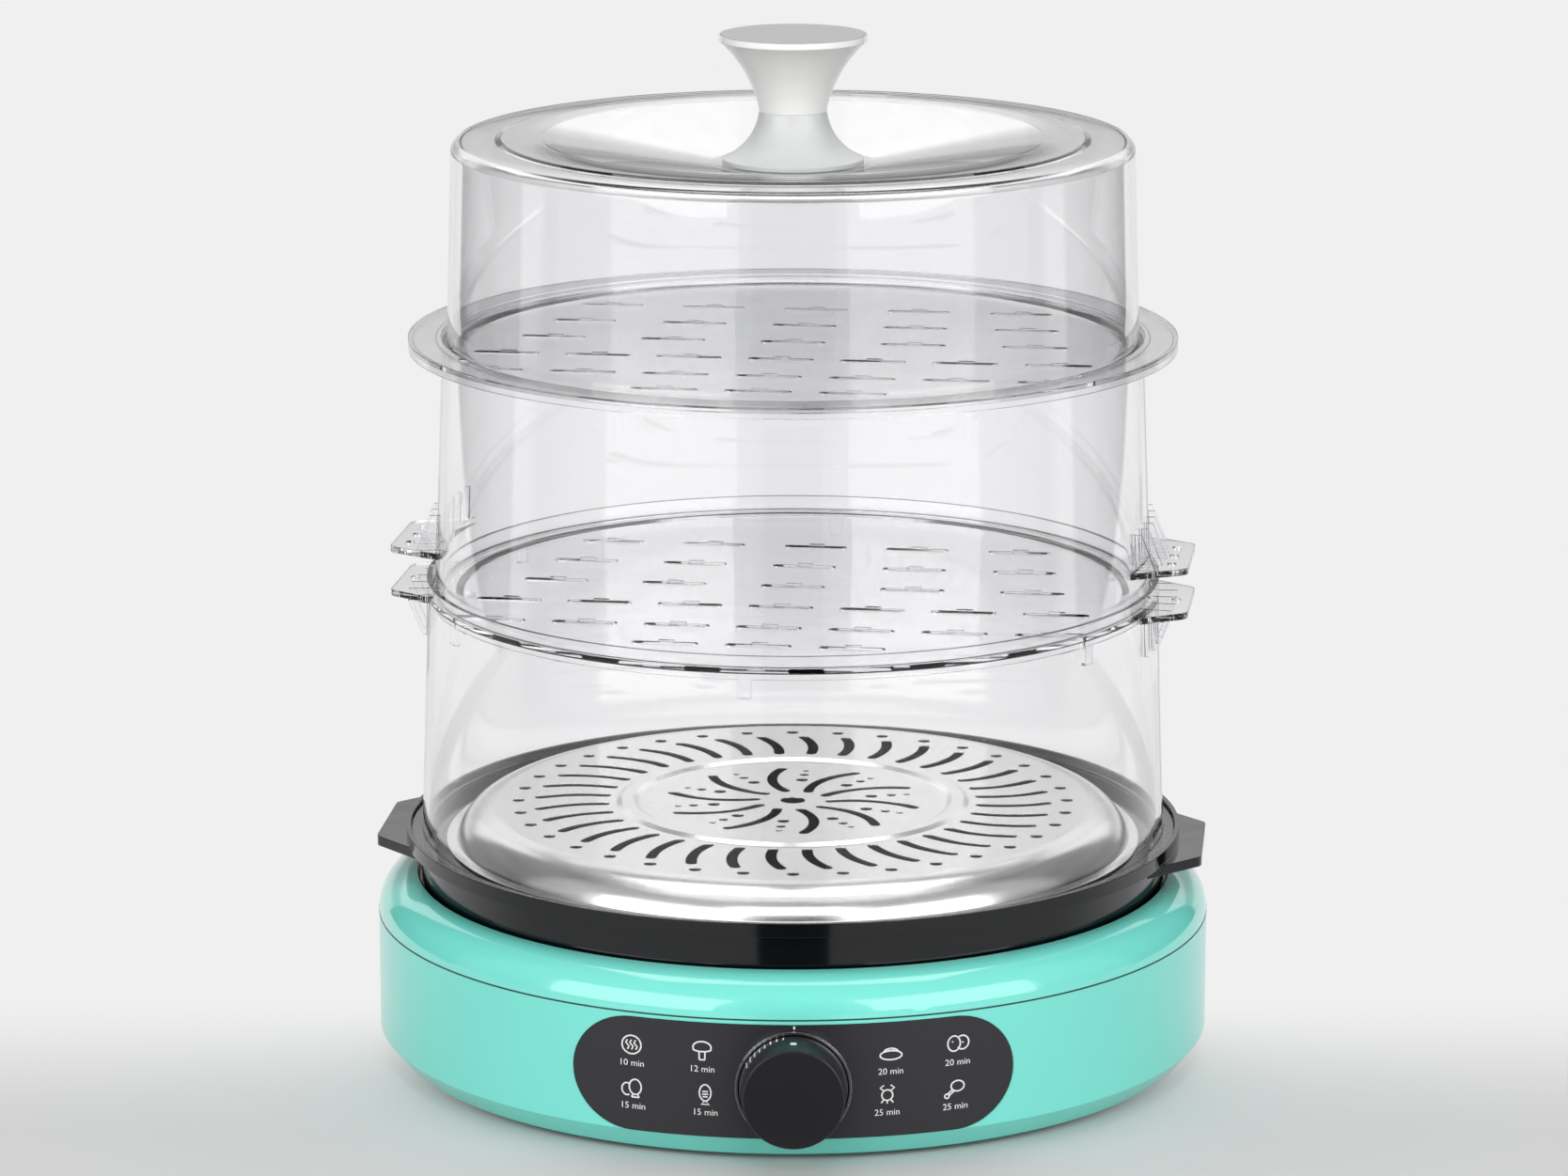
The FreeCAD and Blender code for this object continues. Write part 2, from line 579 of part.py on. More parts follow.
recess_core = cylinder("recess_core", "base_radius - panel_depth", "3 * wall_height", up="-wall_height")
recess = less("panel_recess", pill("recess_pill", "0.15"), recess_core)
inlet_hole = cylinder("inlet_hole", "inlet_radius + fit_gap", "base_radius + 20", "0", "0", "inlet_height",
                      FreeCAD.Rotation(Vec(1, 0, 0), -90))
openings = joined("housing_openings", [recess, bore("neck_bore", "timer_neck_radius + fit_gap"), inlet_hole])
node(less("base_housing", housing_body, openings), "base_housing")

# Cover: a glossy shoulder that turns down to a shelf and a well, whose floor holds the hot plate by its rim.

lip_outer = "(base_radius - base_wall - fit_gap)"
lip_inner = "(%s - 1.8)" % lip_outer
inner_shoulder = "(shoulder_radius - cover_wall)"
cover_body = new_body("top_cover")
turned(cover_body, "shoulder", [
    (lip_inner, seam_height + " - lip_depth"),
    (lip_outer, seam_height + " - lip_depth"),
    (lip_outer, seam_height),
    ("base_radius", seam_height, "-shoulder_radius"),
    ("base_radius - shoulder_radius", opening_height),
    (opening_radius, opening_height + " - 0.8"),
    (opening_radius, well_shelf),
    ("well_radius", well_shelf),
    ("well_radius", well_floor),
    ("heater_radius + fit_gap", well_floor),
    ("heater_radius + fit_gap", well_floor + " - cover_wall"),
    ("well_radius + cover_wall", well_floor + " - cover_wall"),
    ("well_radius + cover_wall", well_shelf + " - cover_wall"),
    (opening_radius + " + cover_wall", well_shelf + " - cover_wall"),
    (opening_radius + " + cover_wall",
     seam_height + " + sqrt(%s ^ 2 - (cover_wall - 0.8) ^ 2)" % inner_shoulder, inner_shoulder),
    (lip_inner, seam_height + " + sqrt(%s ^ 2 - (%s - base_radius + shoulder_radius) ^ 2)"
     % (inner_shoulder, lip_inner)),
])
diagonal = "0.70711 * post_circle"
post_sketch = new_sketch(cover_body, "post_outline", raised=well_floor + " - cover_wall")
ring_of(post_sketch, "post_radius", (diagonal, diagonal))
post = padded(cover_body, "post", post_sketch, well_floor + " - cover_wall - " + plate_over, downward=True)
pilot_sketch = new_sketch(cover_body, "pilot_outline", raised=plate_over)
ring_of(pilot_sketch, "pilot_radius", (diagonal, diagonal))
pilot = pocketed(cover_body, "pilot", pilot_sketch, "pilot_depth", upward=True)
spun(cover_body, "posts", [post, pilot], "4")
node(cover_body, "top_cover")

# Bottom plate with vents, and posts for the heat shield.

bottom_body = new_body("bottom_plate")
turned(bottom_body, "disc", [
    ("0", plate_under),
    ("base_radius - base_inset - base_wall / 2 - 0.8", plate_under),
    ("base_radius - base_inset - base_wall / 2 - 0.8", plate_over),
    ("0", plate_over),
])
shield_post_sketch = new_sketch(bottom_body, "shield_post_outline", raised=plate_over)
ring_of(shield_post_sketch, "shield_post_radius", ("shield_post_circle", "0"))
shield_post = padded(bottom_body, "shield_post", shield_post_sketch, "shield_height")
spun(bottom_body, "shield_posts", [shield_post], "4")
clear_sketch = new_sketch(bottom_body, "screw_clearance_outline", raised=plate_under)
ring_of(clear_sketch, "pilot_radius + fit_gap", (diagonal, diagonal))
clearance = pocketed(bottom_body, "screw_clearance", clear_sketch)
spun(bottom_body, "screw_clearances", [clearance], "4")
vent_sketch = new_sketch(bottom_body, "floor_vent_outline", raised=plate_under)
outline(vent_sketch, [("52", "-2"), ("74", "-2"), ("74", "2"), ("52", "2")])
floor_vent = pocketed(bottom_body, "floor_vent", vent_sketch)
spun(bottom_body, "floor_vents", [floor_vent], "16")
node(bottom_body, "bottom_plate")


def around(name, count, start, maker):
    """A group of equal solids on a circle about the axis, each made at the angle it is given."""
    group = doc.addObject("Part::Compound", name)
    group.Links = [maker(name + "_%d" % (index + 1), start + 360.0 / count * index) for index in range(count)]
    return group


def spot(circle, angle):
    """Side and back expressions of a place on a circle."""
    return ("%s * %.6f" % (circle, math.cos(math.radians(angle))),
            "%s * %.6f" % (circle, math.sin(math.radians(angle))))


def base_screw(name, angle):
    side, back = spot("post_circle", angle)
    head = cylinder(name + "_head", "screw_head_radius", "screw_head_height", side, back,
                    plate_under + " - screw_head_height")
    shank = cylinder(name + "_shank", "pilot_radius - 0.05", "screw_length", side, back, plate_under)
    return joined(name, [head, shank])


def rubber_foot(name, angle):
    side, back = spot("foot_circle", angle)
    return cylinder(name, "foot_radius", plate_under, side, back)


node(around("base_screws", 4, 45.0, base_screw), "base_screws")
node(around("rubber_feet", 4, 0.0, rubber_foot), "rubber_feet")

# Control panel: a black pill let into the front of the wall and bent with it.

panel_skin = less("panel_skin", cylinder("panel_outside", panel_face, "3 * wall_height", up="-wall_height"),
                  cylinder("panel_inside", "base_radius - panel_depth + 0.05", "3 * wall_height",
                           up="-wall_height"))
panel_blank = shared("panel_blank", panel_skin, pill("panel_pill", "0"))
node(less("control_panel", panel_blank, bore("panel_bore", "timer_neck_radius + fit_gap")), "control_panel")


def forward(name, radius, near, far):
    """A cylinder along the knob's axis between two distances in front of the base's axis."""
    return cylinder(name, radius, "%s - (%s)" % (far, near), "0", "-(%s)" % near, "knob_height", FRONTWARD)


bezel_far = panel_face + " + bezel_proud"
bezel_tube = less("bezel_tube", forward("bezel_outside", "bezel_radius", "base_radius - 4", bezel_far),
                  forward("bezel_inside", "bezel_radius - bezel_wall", "base_radius - 6", bezel_far + " + 1"))
node(less("knob_bezel", bezel_tube, cylinder("bezel_saddle", panel_face + " + 0.03", "3 * wall_height",
                                             up="-wall_height")), "knob_bezel")

# Timer behind the panel, its nut in front of it, and the shaft that the knob turns on.

timer_front = "(base_radius - base_wall - 1.9)"
neck_end = "(%s + 3.4)" % panel_face
timer_case = block("timer_case", "timer_side", "timer_depth", "timer_side", "-timer_side / 2", "-" + timer_front,
                   "knob_height - timer_side / 2 + timer_offset")
timer_solid = joined("timer_solid", [timer_case, forward("timer_neck", "timer_neck_radius",
                                                         timer_front + " - 1", neck_end)])
node(less("timer_body", timer_solid, forward("timer_bore", "shaft_radius + shaft_play",
                                             timer_front + " - 16", neck_end + " + 1")), "timer_body")
nut_blank = doc.addObject("Part::Prism", "nut_blank")
nut_blank.Polygon = 6
nut_blank.setExpression("Circumradius", bound("timer_neck_radius + 3.2"))
nut_blank.setExpression("Height", bound("2.2"))
placed(nut_blank, "0", "-(%s + 0.05)" % panel_face, "knob_height", FRONTWARD)
node(less("timer_nut", nut_blank, forward("nut_bore", "timer_neck_radius + 0.02", panel_face + " - 2",
                                          panel_face + " + 6")), "timer_nut")

knob_rear = "(%s + knob_rear_gap)" % panel_face
knob_front = "(%s + knob_reach)" % panel_face
shaft_tip = "(%s - 3.5)" % knob_front
knob_blank = doc.addObject("Part::Cone", "knob_blank")
knob_blank.setExpression("Radius1", bound("knob_radius"))
knob_blank.setExpression("Radius2", bound("knob_face_radius"))
knob_blank.setExpression("Height", bound("%s - %s" % (knob_front, knob_rear)))
placed(knob_blank, "0", "-" + knob_rear, "knob_height", FRONTWARD)
knob_hollow = less("knob_hollow", forward("knob_room", "knob_face_radius - knob_wall", knob_rear + " - 1",
                                          knob_front + " - knob_wall - 1"),
                   forward("knob_hub", "shaft_radius + hub_wall", knob_rear + " + 3.5", knob_front))
knob_cup = less("knob_cup", knob_blank, knob_hollow)
knob_solid = less("knob_solid", knob_cup, forward("shaft_seat", "shaft_radius", knob_rear, shaft_tip))
knob_edge = doc.addObject("Part::Fillet", "knob_edge")
knob_edge.Base = knob_solid
doc.recompute()
face_edges = [index + 1 for index, edge in enumerate(knob_solid.Shape.Edges)
              if abs(edge.BoundBox.YMin + number(knob_front)) < 0.01 and edge.BoundBox.YLength < 0.01]
knob_edge.Edges = [(index, 0.8, 0.8) for index in face_edges]
node(knob_edge, "timer_knob")
node(forward("timer_shaft", "shaft_radius", timer_front + " - 15.5", shaft_tip), "timer_shaft")

# Hot plate hung in the well by its rim, with the heating ring, thermostat and fuse under it.

heater_body = new_body("hot_plate")
turned(heater_body, "plate", [
    ("0", heater_under),
    ("heater_radius", heater_under),
    ("heater_radius", well_floor),
    ("heater_radius + heater_rim", well_floor),
    ("heater_radius + heater_rim", well_floor + " + heater_rim_thickness"),
    ("heater_radius", well_floor + " + heater_rim_thickness"),
    ("heater_radius", heater_top),
    ("0", heater_top),
])
node(heater_body, "hot_plate")

element_height = "(%s - element_radius - 0.1)" % heater_under
element_tube = doc.addObject("Part::Torus", "element_tube")
element_tube.setExpression("Radius1", bound("element_circle"))
element_tube.setExpression("Radius2", bound("element_radius"))
element_tube.Angle3 = 330
placed(element_tube, up=element_height, rotation=FreeCAD.Rotation(Vec(0, 0, 1), 105))


def end_pin(name, angle, grow="0", drop="element_radius + pin_length"):
    side, back = spot("element_circle", angle)
    return cylinder(name, "pin_radius + " + grow, drop, side, back, "%s - (%s)" % (element_height, drop))


node(joined("heating_element", [element_tube, end_pin("left_pin", 105.5), end_pin("right_pin", 74.5)]),
     "heating_element")
node(cylinder("thermostat", "thermostat_radius", "thermostat_height", up=heater_under + " - thermostat_height"),
     "thermostat")
SIDEWARD = FreeCAD.Rotation(Vec(0, 1, 0), 90)
fuse_height = "(%s - fuse_radius - 0.1)" % heater_under
node(cylinder("thermal_fuse", "fuse_radius", "fuse_length", "-fuse_length / 2", "-fuse_place", fuse_height,
              SIDEWARD), "thermal_fuse")
strap_reach = "(fuse_radius + 4)"
strap_block = block("strap_block", "strap_width", "2 * " + strap_reach, "2 * fuse_radius + 0.2 + strap_thickness",
                    "-strap_width / 2", "-fuse_place - " + strap_reach,
                    heater_under + " - 2 * fuse_radius - 0.2 - strap_thickness")
strap_bore = cylinder("strap_bore", "fuse_radius + 0.05", "strap_width + 2", "-strap_width / 2 - 1",
                      "-fuse_place", fuse_height, SIDEWARD)
node(less("fuse_strap", strap_block, strap_bore), "fuse_strap")

shield_disc = cylinder("shield_disc", "shield_radius", "shield_thickness", up=plate_over + " + shield_height")
shield_holes = joined("shield_holes", [
    end_pin("left_hole", 105.5, "3", "element_radius + pin_length + 4"),
    end_pin("right_hole", 74.5, "3", "element_radius + pin_length + 4"),
])
node(less("heat_shield", shield_disc, shield_holes), "heat_shield")

terminal_case = block("terminal_case", "terminal_length", "terminal_depth", "terminal_height",
                      "-terminal_length / 2", "terminal_place - terminal_depth / 2", plate_over)
terminal_slots = [block("terminal_slot_%d" % (index + 1), "6", "terminal_depth + 2", "terminal_height / 2",
                        "terminal_length * %.4f - 3" % share, "terminal_place - terminal_depth / 2 - 1",
                        plate_over + " + terminal_height / 2 + 2") for index, share in
                  enumerate((-0.32, 0.0, 0.32))]
node(less("terminal_block", terminal_case, joined("terminal_slots", terminal_slots)), "terminal_block")
BACKWARD = FreeCAD.Rotation(Vec(1, 0, 0), -90)


def backward(name, radius, near, far):
    return cylinder(name, radius, "%s - (%s)" % (far, near), "0", near, "inlet_height", BACKWARD)


inside_face = "(sqrt((base_radius - base_wall) ^ 2 - inlet_collar ^ 2) - 0.05)"
bush = joined("bush", [
    backward("bush_inside", "inlet_collar", inside_face + " - inlet_collar_thickness", inside_face),
    backward("bush_body", "inlet_radius", inside_face + " - 1", "base_radius + 1"),
    backward("bush_outside", "inlet_collar", "base_radius + 0.05", "base_radius + 0.05 + inlet_collar_thickness"),
])
node(less("inlet_bush", bush, backward("bush_bore", "inlet_bore", "base_radius - 20", "base_radius + 10")),
     "inlet_bush")

# Water pan: a pressed bowl with a skirt that dips into the base, a collar with two steps for the plate and
# the clear ring, and two flat handles.

bowl_inner = "(pan_bowl_radius - pan_wall)"
pan_body = new_body("water_pan", pan_bottom, "-pan_ear_turn")
turned(pan_body, "bowl", [
    ("0", "0"),
    ("pan_foot_radius", "0", "-pan_corner * 1.2"),
    ("pan_bowl_radius - 1", "pan_corner"),
    ("pan_bowl_radius", plate_seat_local + " - pan_wall"),
    ("pan_skirt_radius - pan_wall", plate_seat_local + " - pan_wall"),
    ("pan_skirt_radius - pan_wall", "pan_height - pan_collar - pan_skirt_depth"),
    ("pan_skirt_radius", "pan_height - pan_collar - pan_skirt_depth"),
    ("pan_skirt_radius", "pan_height - pan_collar"),
    ("pan_rim_radius", "pan_height - pan_collar"),
    ("pan_rim_radius", "pan_height"),
    ("pan_rim_radius - pan_rim_wall", "pan_height"),
    ("pan_rim_radius - pan_rim_wall", ring_seat_local),
    ("pan_skirt_radius - pan_wall", ring_seat_local),
    ("pan_skirt_radius - pan_wall", plate_seat_local),
    (bowl_inner, plate_seat_local),
    (bowl_inner + " - 1", "pan_corner", "pan_corner * 1.2"),
    ("pan_foot_radius - 1", "pan_wall"),
    ("0", "pan_wall"),
])


def handle_outlines(sketch, wall_radius, root, tip, reach):
    """Two handle outlines, one on each side, that start inside a round wall."""
    start = "sqrt(%s ^ 2 - %s ^ 2)" % (wall_radius, root)
    for sign in ("", "-"):
        arc = "%s" % wall_radius
        corners = [(sign + "(%s)" % start, "-(%s)" % root), (sign + "(%s)" % reach, "-(%s)" % tip),
                   (sign + "(%s)" % reach, tip), (sign + "(%s)" % start, root, arc)]
        if sign:
            corners = [(corners[0][0], corners[0][1], arc), corners[3][:2], corners[2], corners[1]]
        outline(sketch, corners)


def rounded(body, name, reach, tip, radius):
    """Round the upright corners at the ends of a pair of handles."""
    carrier = body.Tip
    shape = carrier.Shape
    names = []
    for index, edge in enumerate(shape.Edges):
        box = edge.BoundBox
        upright = box.XLength < 0.001 and box.YLength < 0.001
        if upright and abs(abs(box.XMin) - number(reach)) < 0.01 and abs(abs(box.YMin) - number(tip)) < 0.01:
            names.append("Edge%d" % (index + 1))
    feature = body.newObject("PartDesign::Fillet", name)
    feature.Base = (carrier, names)
    feature.setExpression("Radius", bound(radius))
    doc.recompute()
    return feature


pan_ear_sketch = new_sketch(pan_body, "pan_ear_outline", raised="pan_height - pan_collar")
handle_outlines(pan_ear_sketch, "(pan_skirt_radius + 3)", "pan_ear_root", "pan_ear_tip", "pan_ear_reach")
pan_ears = padded(pan_body, "pan_ears", pan_ear_sketch, "pan_ear_thickness", downward=True)
pan_ear_top = new_sketch(pan_body, "pan_ear_join", raised="pan_height - pan_collar")
handle_outlines(pan_ear_top, "(pan_skirt_radius + 3)", "pan_ear_root", "pan_ear_tip", "pan_ear_reach")
padded(pan_body, "pan_ear_web", pan_ear_top, "0.8")
rounded(pan_body, "pan_ear_corners", "pan_ear_reach", "pan_ear_tip", "ear_corner")
node(pan_body, "water_pan")

# Steam plate: one sheet of steel, domed over a flat foot, with curved slots, long slots and holes.

flat_over = "plate_height"
flat_under = "(plate_height - plate_thickness)"
dome_run = "(plate_radius - plate_foot_width - plate_flat_radius)"
outer_dome = "((%s ^ 2 + (plate_height - plate_thickness) ^ 2) / (2 * (plate_height - plate_thickness)))" % dome_run
inner_run = "(%s - plate_thickness)" % dome_run
inner_dome = "((%s ^ 2 + %s ^ 2) / (2 * %s))" % (inner_run, flat_under, flat_under)
plate_body = new_body("steam_plate", pan_bottom + " + " + plate_seat_local)
turned(plate_body, "sheet", [
    ("plate_radius - plate_foot_width - plate_thickness", "0"),
    ("plate_radius", "0"),
    ("plate_radius", "plate_thickness"),
    ("plate_radius - plate_foot_width", "plate_thickness", "-" + outer_dome),
    ("plate_flat_radius", flat_over),
    ("bead_outer", flat_over),
    ("bead_outer - bead_slope", flat_over + " + bead_rise"),
    ("bead_inner + bead_slope", flat_over + " + bead_rise"),
    ("bead_inner", flat_over),
    ("0", flat_over),
    ("0", flat_under),
    ("bead_inner", flat_under),
    ("bead_inner + bead_slope", flat_under + " + bead_rise"),
    ("bead_outer - bead_slope", flat_under + " + bead_rise"),
    ("bead_outer", flat_under),
    ("plate_flat_radius", flat_under, inner_dome),
])


def cap_joint(sketch, one, one_end, other, other_end):
    sketch.addConstraint(Sketcher.Constraint("Tangent", one, one_end, other, other_end))


def bent_slot(sketch, inner, outer, width, bend, side):
    """A slot along an arc between two end centres. It bows to the right of the way out for side -1."""
    start = Vec(number(inner[0]), number(inner[1]), 0)
    end = Vec(number(outer[0]), number(outer[1]), 0)
    radius, half = number(bend), number(width) / 2
    chord = end - start
    across = Vec(-chord.y, chord.x, 0).normalize()
    centre = (start + end) * 0.5 - across * side * math.sqrt(radius ** 2 - chord.Length ** 2 / 4)
    angles = [math.atan2(place.y - centre.y, place.x - centre.x) for place in (start, end)]
    low, high = (angles[0], angles[1]) if side < 0 else (angles[1], angles[0])
    if high < low:
        high += 2 * math.pi
    low_end = centre + Vec(math.cos(low), math.sin(low), 0) * radius
    high_end = centre + Vec(math.cos(high), math.sin(high), 0) * radius
    up = Vec(0, 0, 1)
    first = sketch.GeometryCount
    sketch.addGeometry(Part.ArcOfCircle(Part.Circle(centre, up, radius + half), low, high))
    sketch.addGeometry(Part.ArcOfCircle(Part.Circle(centre, up, radius - half), low, high))
    sketch.addGeometry(Part.ArcOfCircle(Part.Circle(low_end, up, half), low + math.pi, low + 2 * math.pi))
    sketch.addGeometry(Part.ArcOfCircle(Part.Circle(high_end, up, half), high, high + math.pi))
    outside, inside, low_cap, high_cap = first, first + 1, first + 2, first + 3
    sketch.addConstraint(Sketcher.Constraint("Coincident", outside, 3, inside, 3))
    cap_joint(sketch, outside, 1, low_cap, 2)
    cap_joint(sketch, inside, 1, low_cap, 1)
    cap_joint(sketch, outside, 2, high_cap, 1)
    cap_joint(sketch, inside, 2, high_cap, 2)
    drive(sketch, "Radius", (outside,), "%s + %s / 2" % (bend, width))
    drive(sketch, "Radius", (inside,), "%s - %s / 2" % (bend, width))
    low_place, high_place = (inner, outer) if side < 0 else (outer, inner)
    for cap, place in ((low_cap, low_place), (high_cap, high_place)):
        drive(sketch, "DistanceX", (-1, 1, cap, 3), place[0])
        drive(sketch, "DistanceY", (-1, 1, cap, 3), place[1])


def straight_slot(sketch, side, back, length, width):
    """A straight slot with round ends about a centre."""
    half = number(width) / 2
    reach = "(%s - %s) / 2" % (length, width)
    left, right = number("(%s) - %s" % (side, reach)), number("(%s) + %s" % (side, reach))
    level = number(back)
    up = Vec(0, 0, 1)
    first = sketch.GeometryCount
    sketch.addGeometry(Part.LineSegment(Vec(left, level - half, 0), Vec(right, level - half, 0)))
    sketch.addGeometry(Part.ArcOfCircle(Part.Circle(Vec(right, level, 0), up, half), -math.pi / 2, math.pi / 2))
    sketch.addGeometry(Part.LineSegment(Vec(right, level + half, 0), Vec(left, level + half, 0)))
    sketch.addGeometry(Part.ArcOfCircle(Part.Circle(Vec(left, level, 0), up, half), math.pi / 2, 1.5 * math.pi))
    near, right_cap, far, left_cap = first, first + 1, first + 2, first + 3
    cap_joint(sketch, near, 2, right_cap, 1)
    cap_joint(sketch, right_cap, 2, far, 1)
    cap_joint(sketch, far, 2, left_cap, 1)
    cap_joint(sketch, left_cap, 2, near, 1)
    drive(sketch, "Radius", (right_cap,), width + " / 2")
    drive(sketch, "Radius", (left_cap,), width + " / 2")
    drive(sketch, "DistanceX", (-1, 1, right_cap, 3), "(%s) + %s" % (side, reach))
    drive(sketch, "DistanceX", (-1, 1, left_cap, 3), "(%s) - %s" % (side, reach))
    drive(sketch, "DistanceY", (-1, 1, right_cap, 3), back)
    drive(sketch, "DistanceY", (-1, 1, left_cap, 3), back)


slot_sketch = new_sketch(plate_body, "swirl_outline", raised=flat_under)
bent_slot(slot_sketch, ("slot_inner_out", "slot_inner_side"), ("slot_outer_out", "slot_outer_side"),
          "slot_width", "slot_bend", -1)
ring_of(slot_sketch, "hole_radius", ("hole_circle", "0"))
swirl = pocketed(plate_body, "swirl", slot_sketch)
spun(plate_body, "swirls", [swirl], "slot_count")
petal_sketch = new_sketch(plate_body, "petal_outline", raised=flat_under)
bent_slot(petal_sketch, ("petal_inner_out", "petal_inner_side"), ("petal_outer_out", "petal_outer_side"),
          "petal_width", "petal_bend", 1)
for dot_index, dot_place in enumerate(("dot_near", "dot_middle", "dot_far")):
    ring_of(petal_sketch, "dot_large - %d * dot_step" % dot_index,
            (dot_place + " * cos(dot_turn)", dot_place + " * sin(dot_turn)"))
petal = pocketed(plate_body, "petal", petal_sketch)
spun(plate_body, "petals", [petal], "petal_count")
centre_sketch = new_sketch(plate_body, "centre_outline", raised=flat_under)
ring_of(centre_sketch, "centre_hole")
pocketed(plate_body, "centre", centre_sketch)
node(plate_body, "steam_plate")

# Clear rings. Each carries a pair of handles with small holes and a row of ribs at each handle.


def rib_profile(sketch, inner_low, inner_high, low, high, outer_low, outer_high):
    """Rib outlines on both sides of the axis, from inside the wall outward."""
    outline(sketch, [(inner_low, low), (outer_low, low), (outer_high, high), (inner_high, high)])
    outline(sketch, [("-(%s)" % inner_low, low), ("-(%s)" % inner_high, high),
                     ("-(%s)" % outer_high, high), ("-(%s)" % outer_low, low)])


def ribs(body, name, profile):
    """A row of ribs about the handles' middle line."""
    sketch = body.newObject("Sketcher::SketchObject", name + "_profile")
    sketch.AttachmentSupport = [(origin_plane(body, "XZ_Plane"), "")]
    sketch.MapMode = "FlatFace"
    first_turn = "rib_pitch * (rib_count - 1) / 2"
    sketch.AttachmentOffset = FreeCAD.Placement(Vec(0, 0, 0), FreeCAD.Rotation(Vec(0, 1, 0),
                                                                               -number(first_turn)))
    rib_profile(sketch, *profile)
    rib = body.newObject("PartDesign::Pad", name)
    rib.Profile = sketch
    rib.Midplane = True
    rib.setExpression("Length", bound("rib_thickness"))
    doc.recompute()
    pattern = body.newObject("PartDesign::PolarPattern", name + "_row")
    pattern.Originals = [rib]
    pattern.Axis = (origin_axis(body, "Z_Axis"), [""])
    pattern.setExpression("Angle", bound("rib_pitch * (rib_count - 1)"))
    pattern.setExpression("Occurrences", bound("rib_count"))
    body.Tip = pattern
    doc.recompute()


def origin_axis(body, role):
    return [feature for feature in body.Origin.OriginFeatures if feature.Role == role][0]


lower_body = new_body("lower_ring", lower_ring_bottom, "-ear_turn")
turned(lower_body, "wall", [
    ("lower_foot_radius - clear_wall", "0"),
    ("ring_flange_radius", "0"),
    ("ring_flange_radius", "ring_flange_thickness"),
    ("lower_foot_radius", "ring_flange_thickness"),
    ("lower_top_radius", "ring_height"),
    ("lower_top_radius - clear_wall", "ring_height"),
])
lower_middle = "(lower_top_radius - clear_wall / 2)"
ear_sketch = new_sketch(lower_body, "lower_ear_outline", raised="ring_height")
handle_outlines(ear_sketch, lower_middle, "ear_root", "ear_tip", "ear_reach")
padded(lower_body, "lower_ears", ear_sketch, "ear_thickness", downward=True)
rounded(lower_body, "lower_ear_corners", "ear_reach", "ear_tip", "ear_corner")
hole_sketch = new_sketch(lower_body, "lower_ear_hole_outline", raised="ring_height")
ring_of(hole_sketch, "ear_hole_radius", ("ear_hole_place", "0"))
ring_of(hole_sketch, "ear_hole_radius", ("-ear_hole_place", "0"))
pocketed(lower_body, "lower_ear_holes", hole_sketch, "ear_thickness + 1")
ribs(lower_body, "lower_rib", (
    lower_middle, lower_middle, "ring_height - ear_thickness - rib_height", "ring_height - ear_thickness + 0.2",
    "lower_top_radius + 2", "lower_top_radius + rib_depth"))
node(lower_body, "lower_ring")

middle_body = new_body("middle_ring", middle_ring_bottom, "-ear_turn")
turned(middle_body, "wall", [
    ("middle_foot_radius - clear_wall", "0"),
    ("middle_foot_radius", "0"),
    ("middle_top_radius", "ring_height"),
    ("middle_top_radius - clear_wall", "ring_height"),
])
ear_top = "(ear_height + ear_thickness)"
middle_taper = "(middle_foot_radius - middle_top_radius) / ring_height"
middle_middle = "(middle_foot_radius - clear_wall / 2 - %s * %s)" % (middle_taper, ear_top)
rib_middle = "(middle_foot_radius - clear_wall / 2 - %s * (%s + rib_height))" % (middle_taper, ear_top)
ear_sketch = new_sketch(middle_body, "middle_ear_outline", raised=ear_top)
handle_outlines(ear_sketch, middle_middle, "ear_root", "ear_tip", "ear_reach")
padded(middle_body, "middle_ears", ear_sketch, "ear_thickness", downward=True)
rounded(middle_body, "middle_ear_corners", "ear_reach", "ear_tip", "ear_corner")
hole_sketch = new_sketch(middle_body, "middle_ear_hole_outline", raised=ear_top)
for sign in ("", "-"):
    for shift in ("-ear_hole_pitch", "0", "ear_hole_pitch"):
        ring_of(hole_sketch, "ear_hole_radius", (sign + "(ear_hole_place - 1)", shift))
pocketed(middle_body, "middle_ear_holes", hole_sketch, "ear_thickness")
ribs(middle_body, "middle_rib", (
    middle_middle, rib_middle, ear_top + " - 0.2", ear_top + " + rib_height",
    middle_middle + " + clear_wall / 2 + rib_depth", middle_middle + " + clear_wall / 2 + 2"))
node(middle_body, "middle_ring")

# Trays: clear floors with rows of slots, and a small hole behind each slot.


def slot_rows(body, name):
    for row, place, slots, pitch in TRAY_ROWS:
        sketch = new_sketch(body, "%s_%s_outline" % (name, row))
        side = "-%s_pitch * (%s_count - 1) / 2" % (row, row)
        back = row + "_place"
        straight_slot(sketch, side, back, "tray_slot_length", "tray_slot_width")
        notch_low = back + " + tray_slot_width / 2 + notch_gap"
        outline(sketch, [
            (side + " - notch_width / 2", notch_low),
            (side + " + notch_width / 2", notch_low),
            (side + " + notch_width / 2", notch_low + " + notch_depth"),
            (side + " - notch_width / 2", notch_low + " + notch_depth"),
        ])
        cut = pocketed(body, "%s_%s" % (name, row), sketch)
        repeated(body, "%s_%s_slots" % (name, row), [cut], "%s_pitch * (%s_count - 1)" % (row, row),
                 row + "_count")


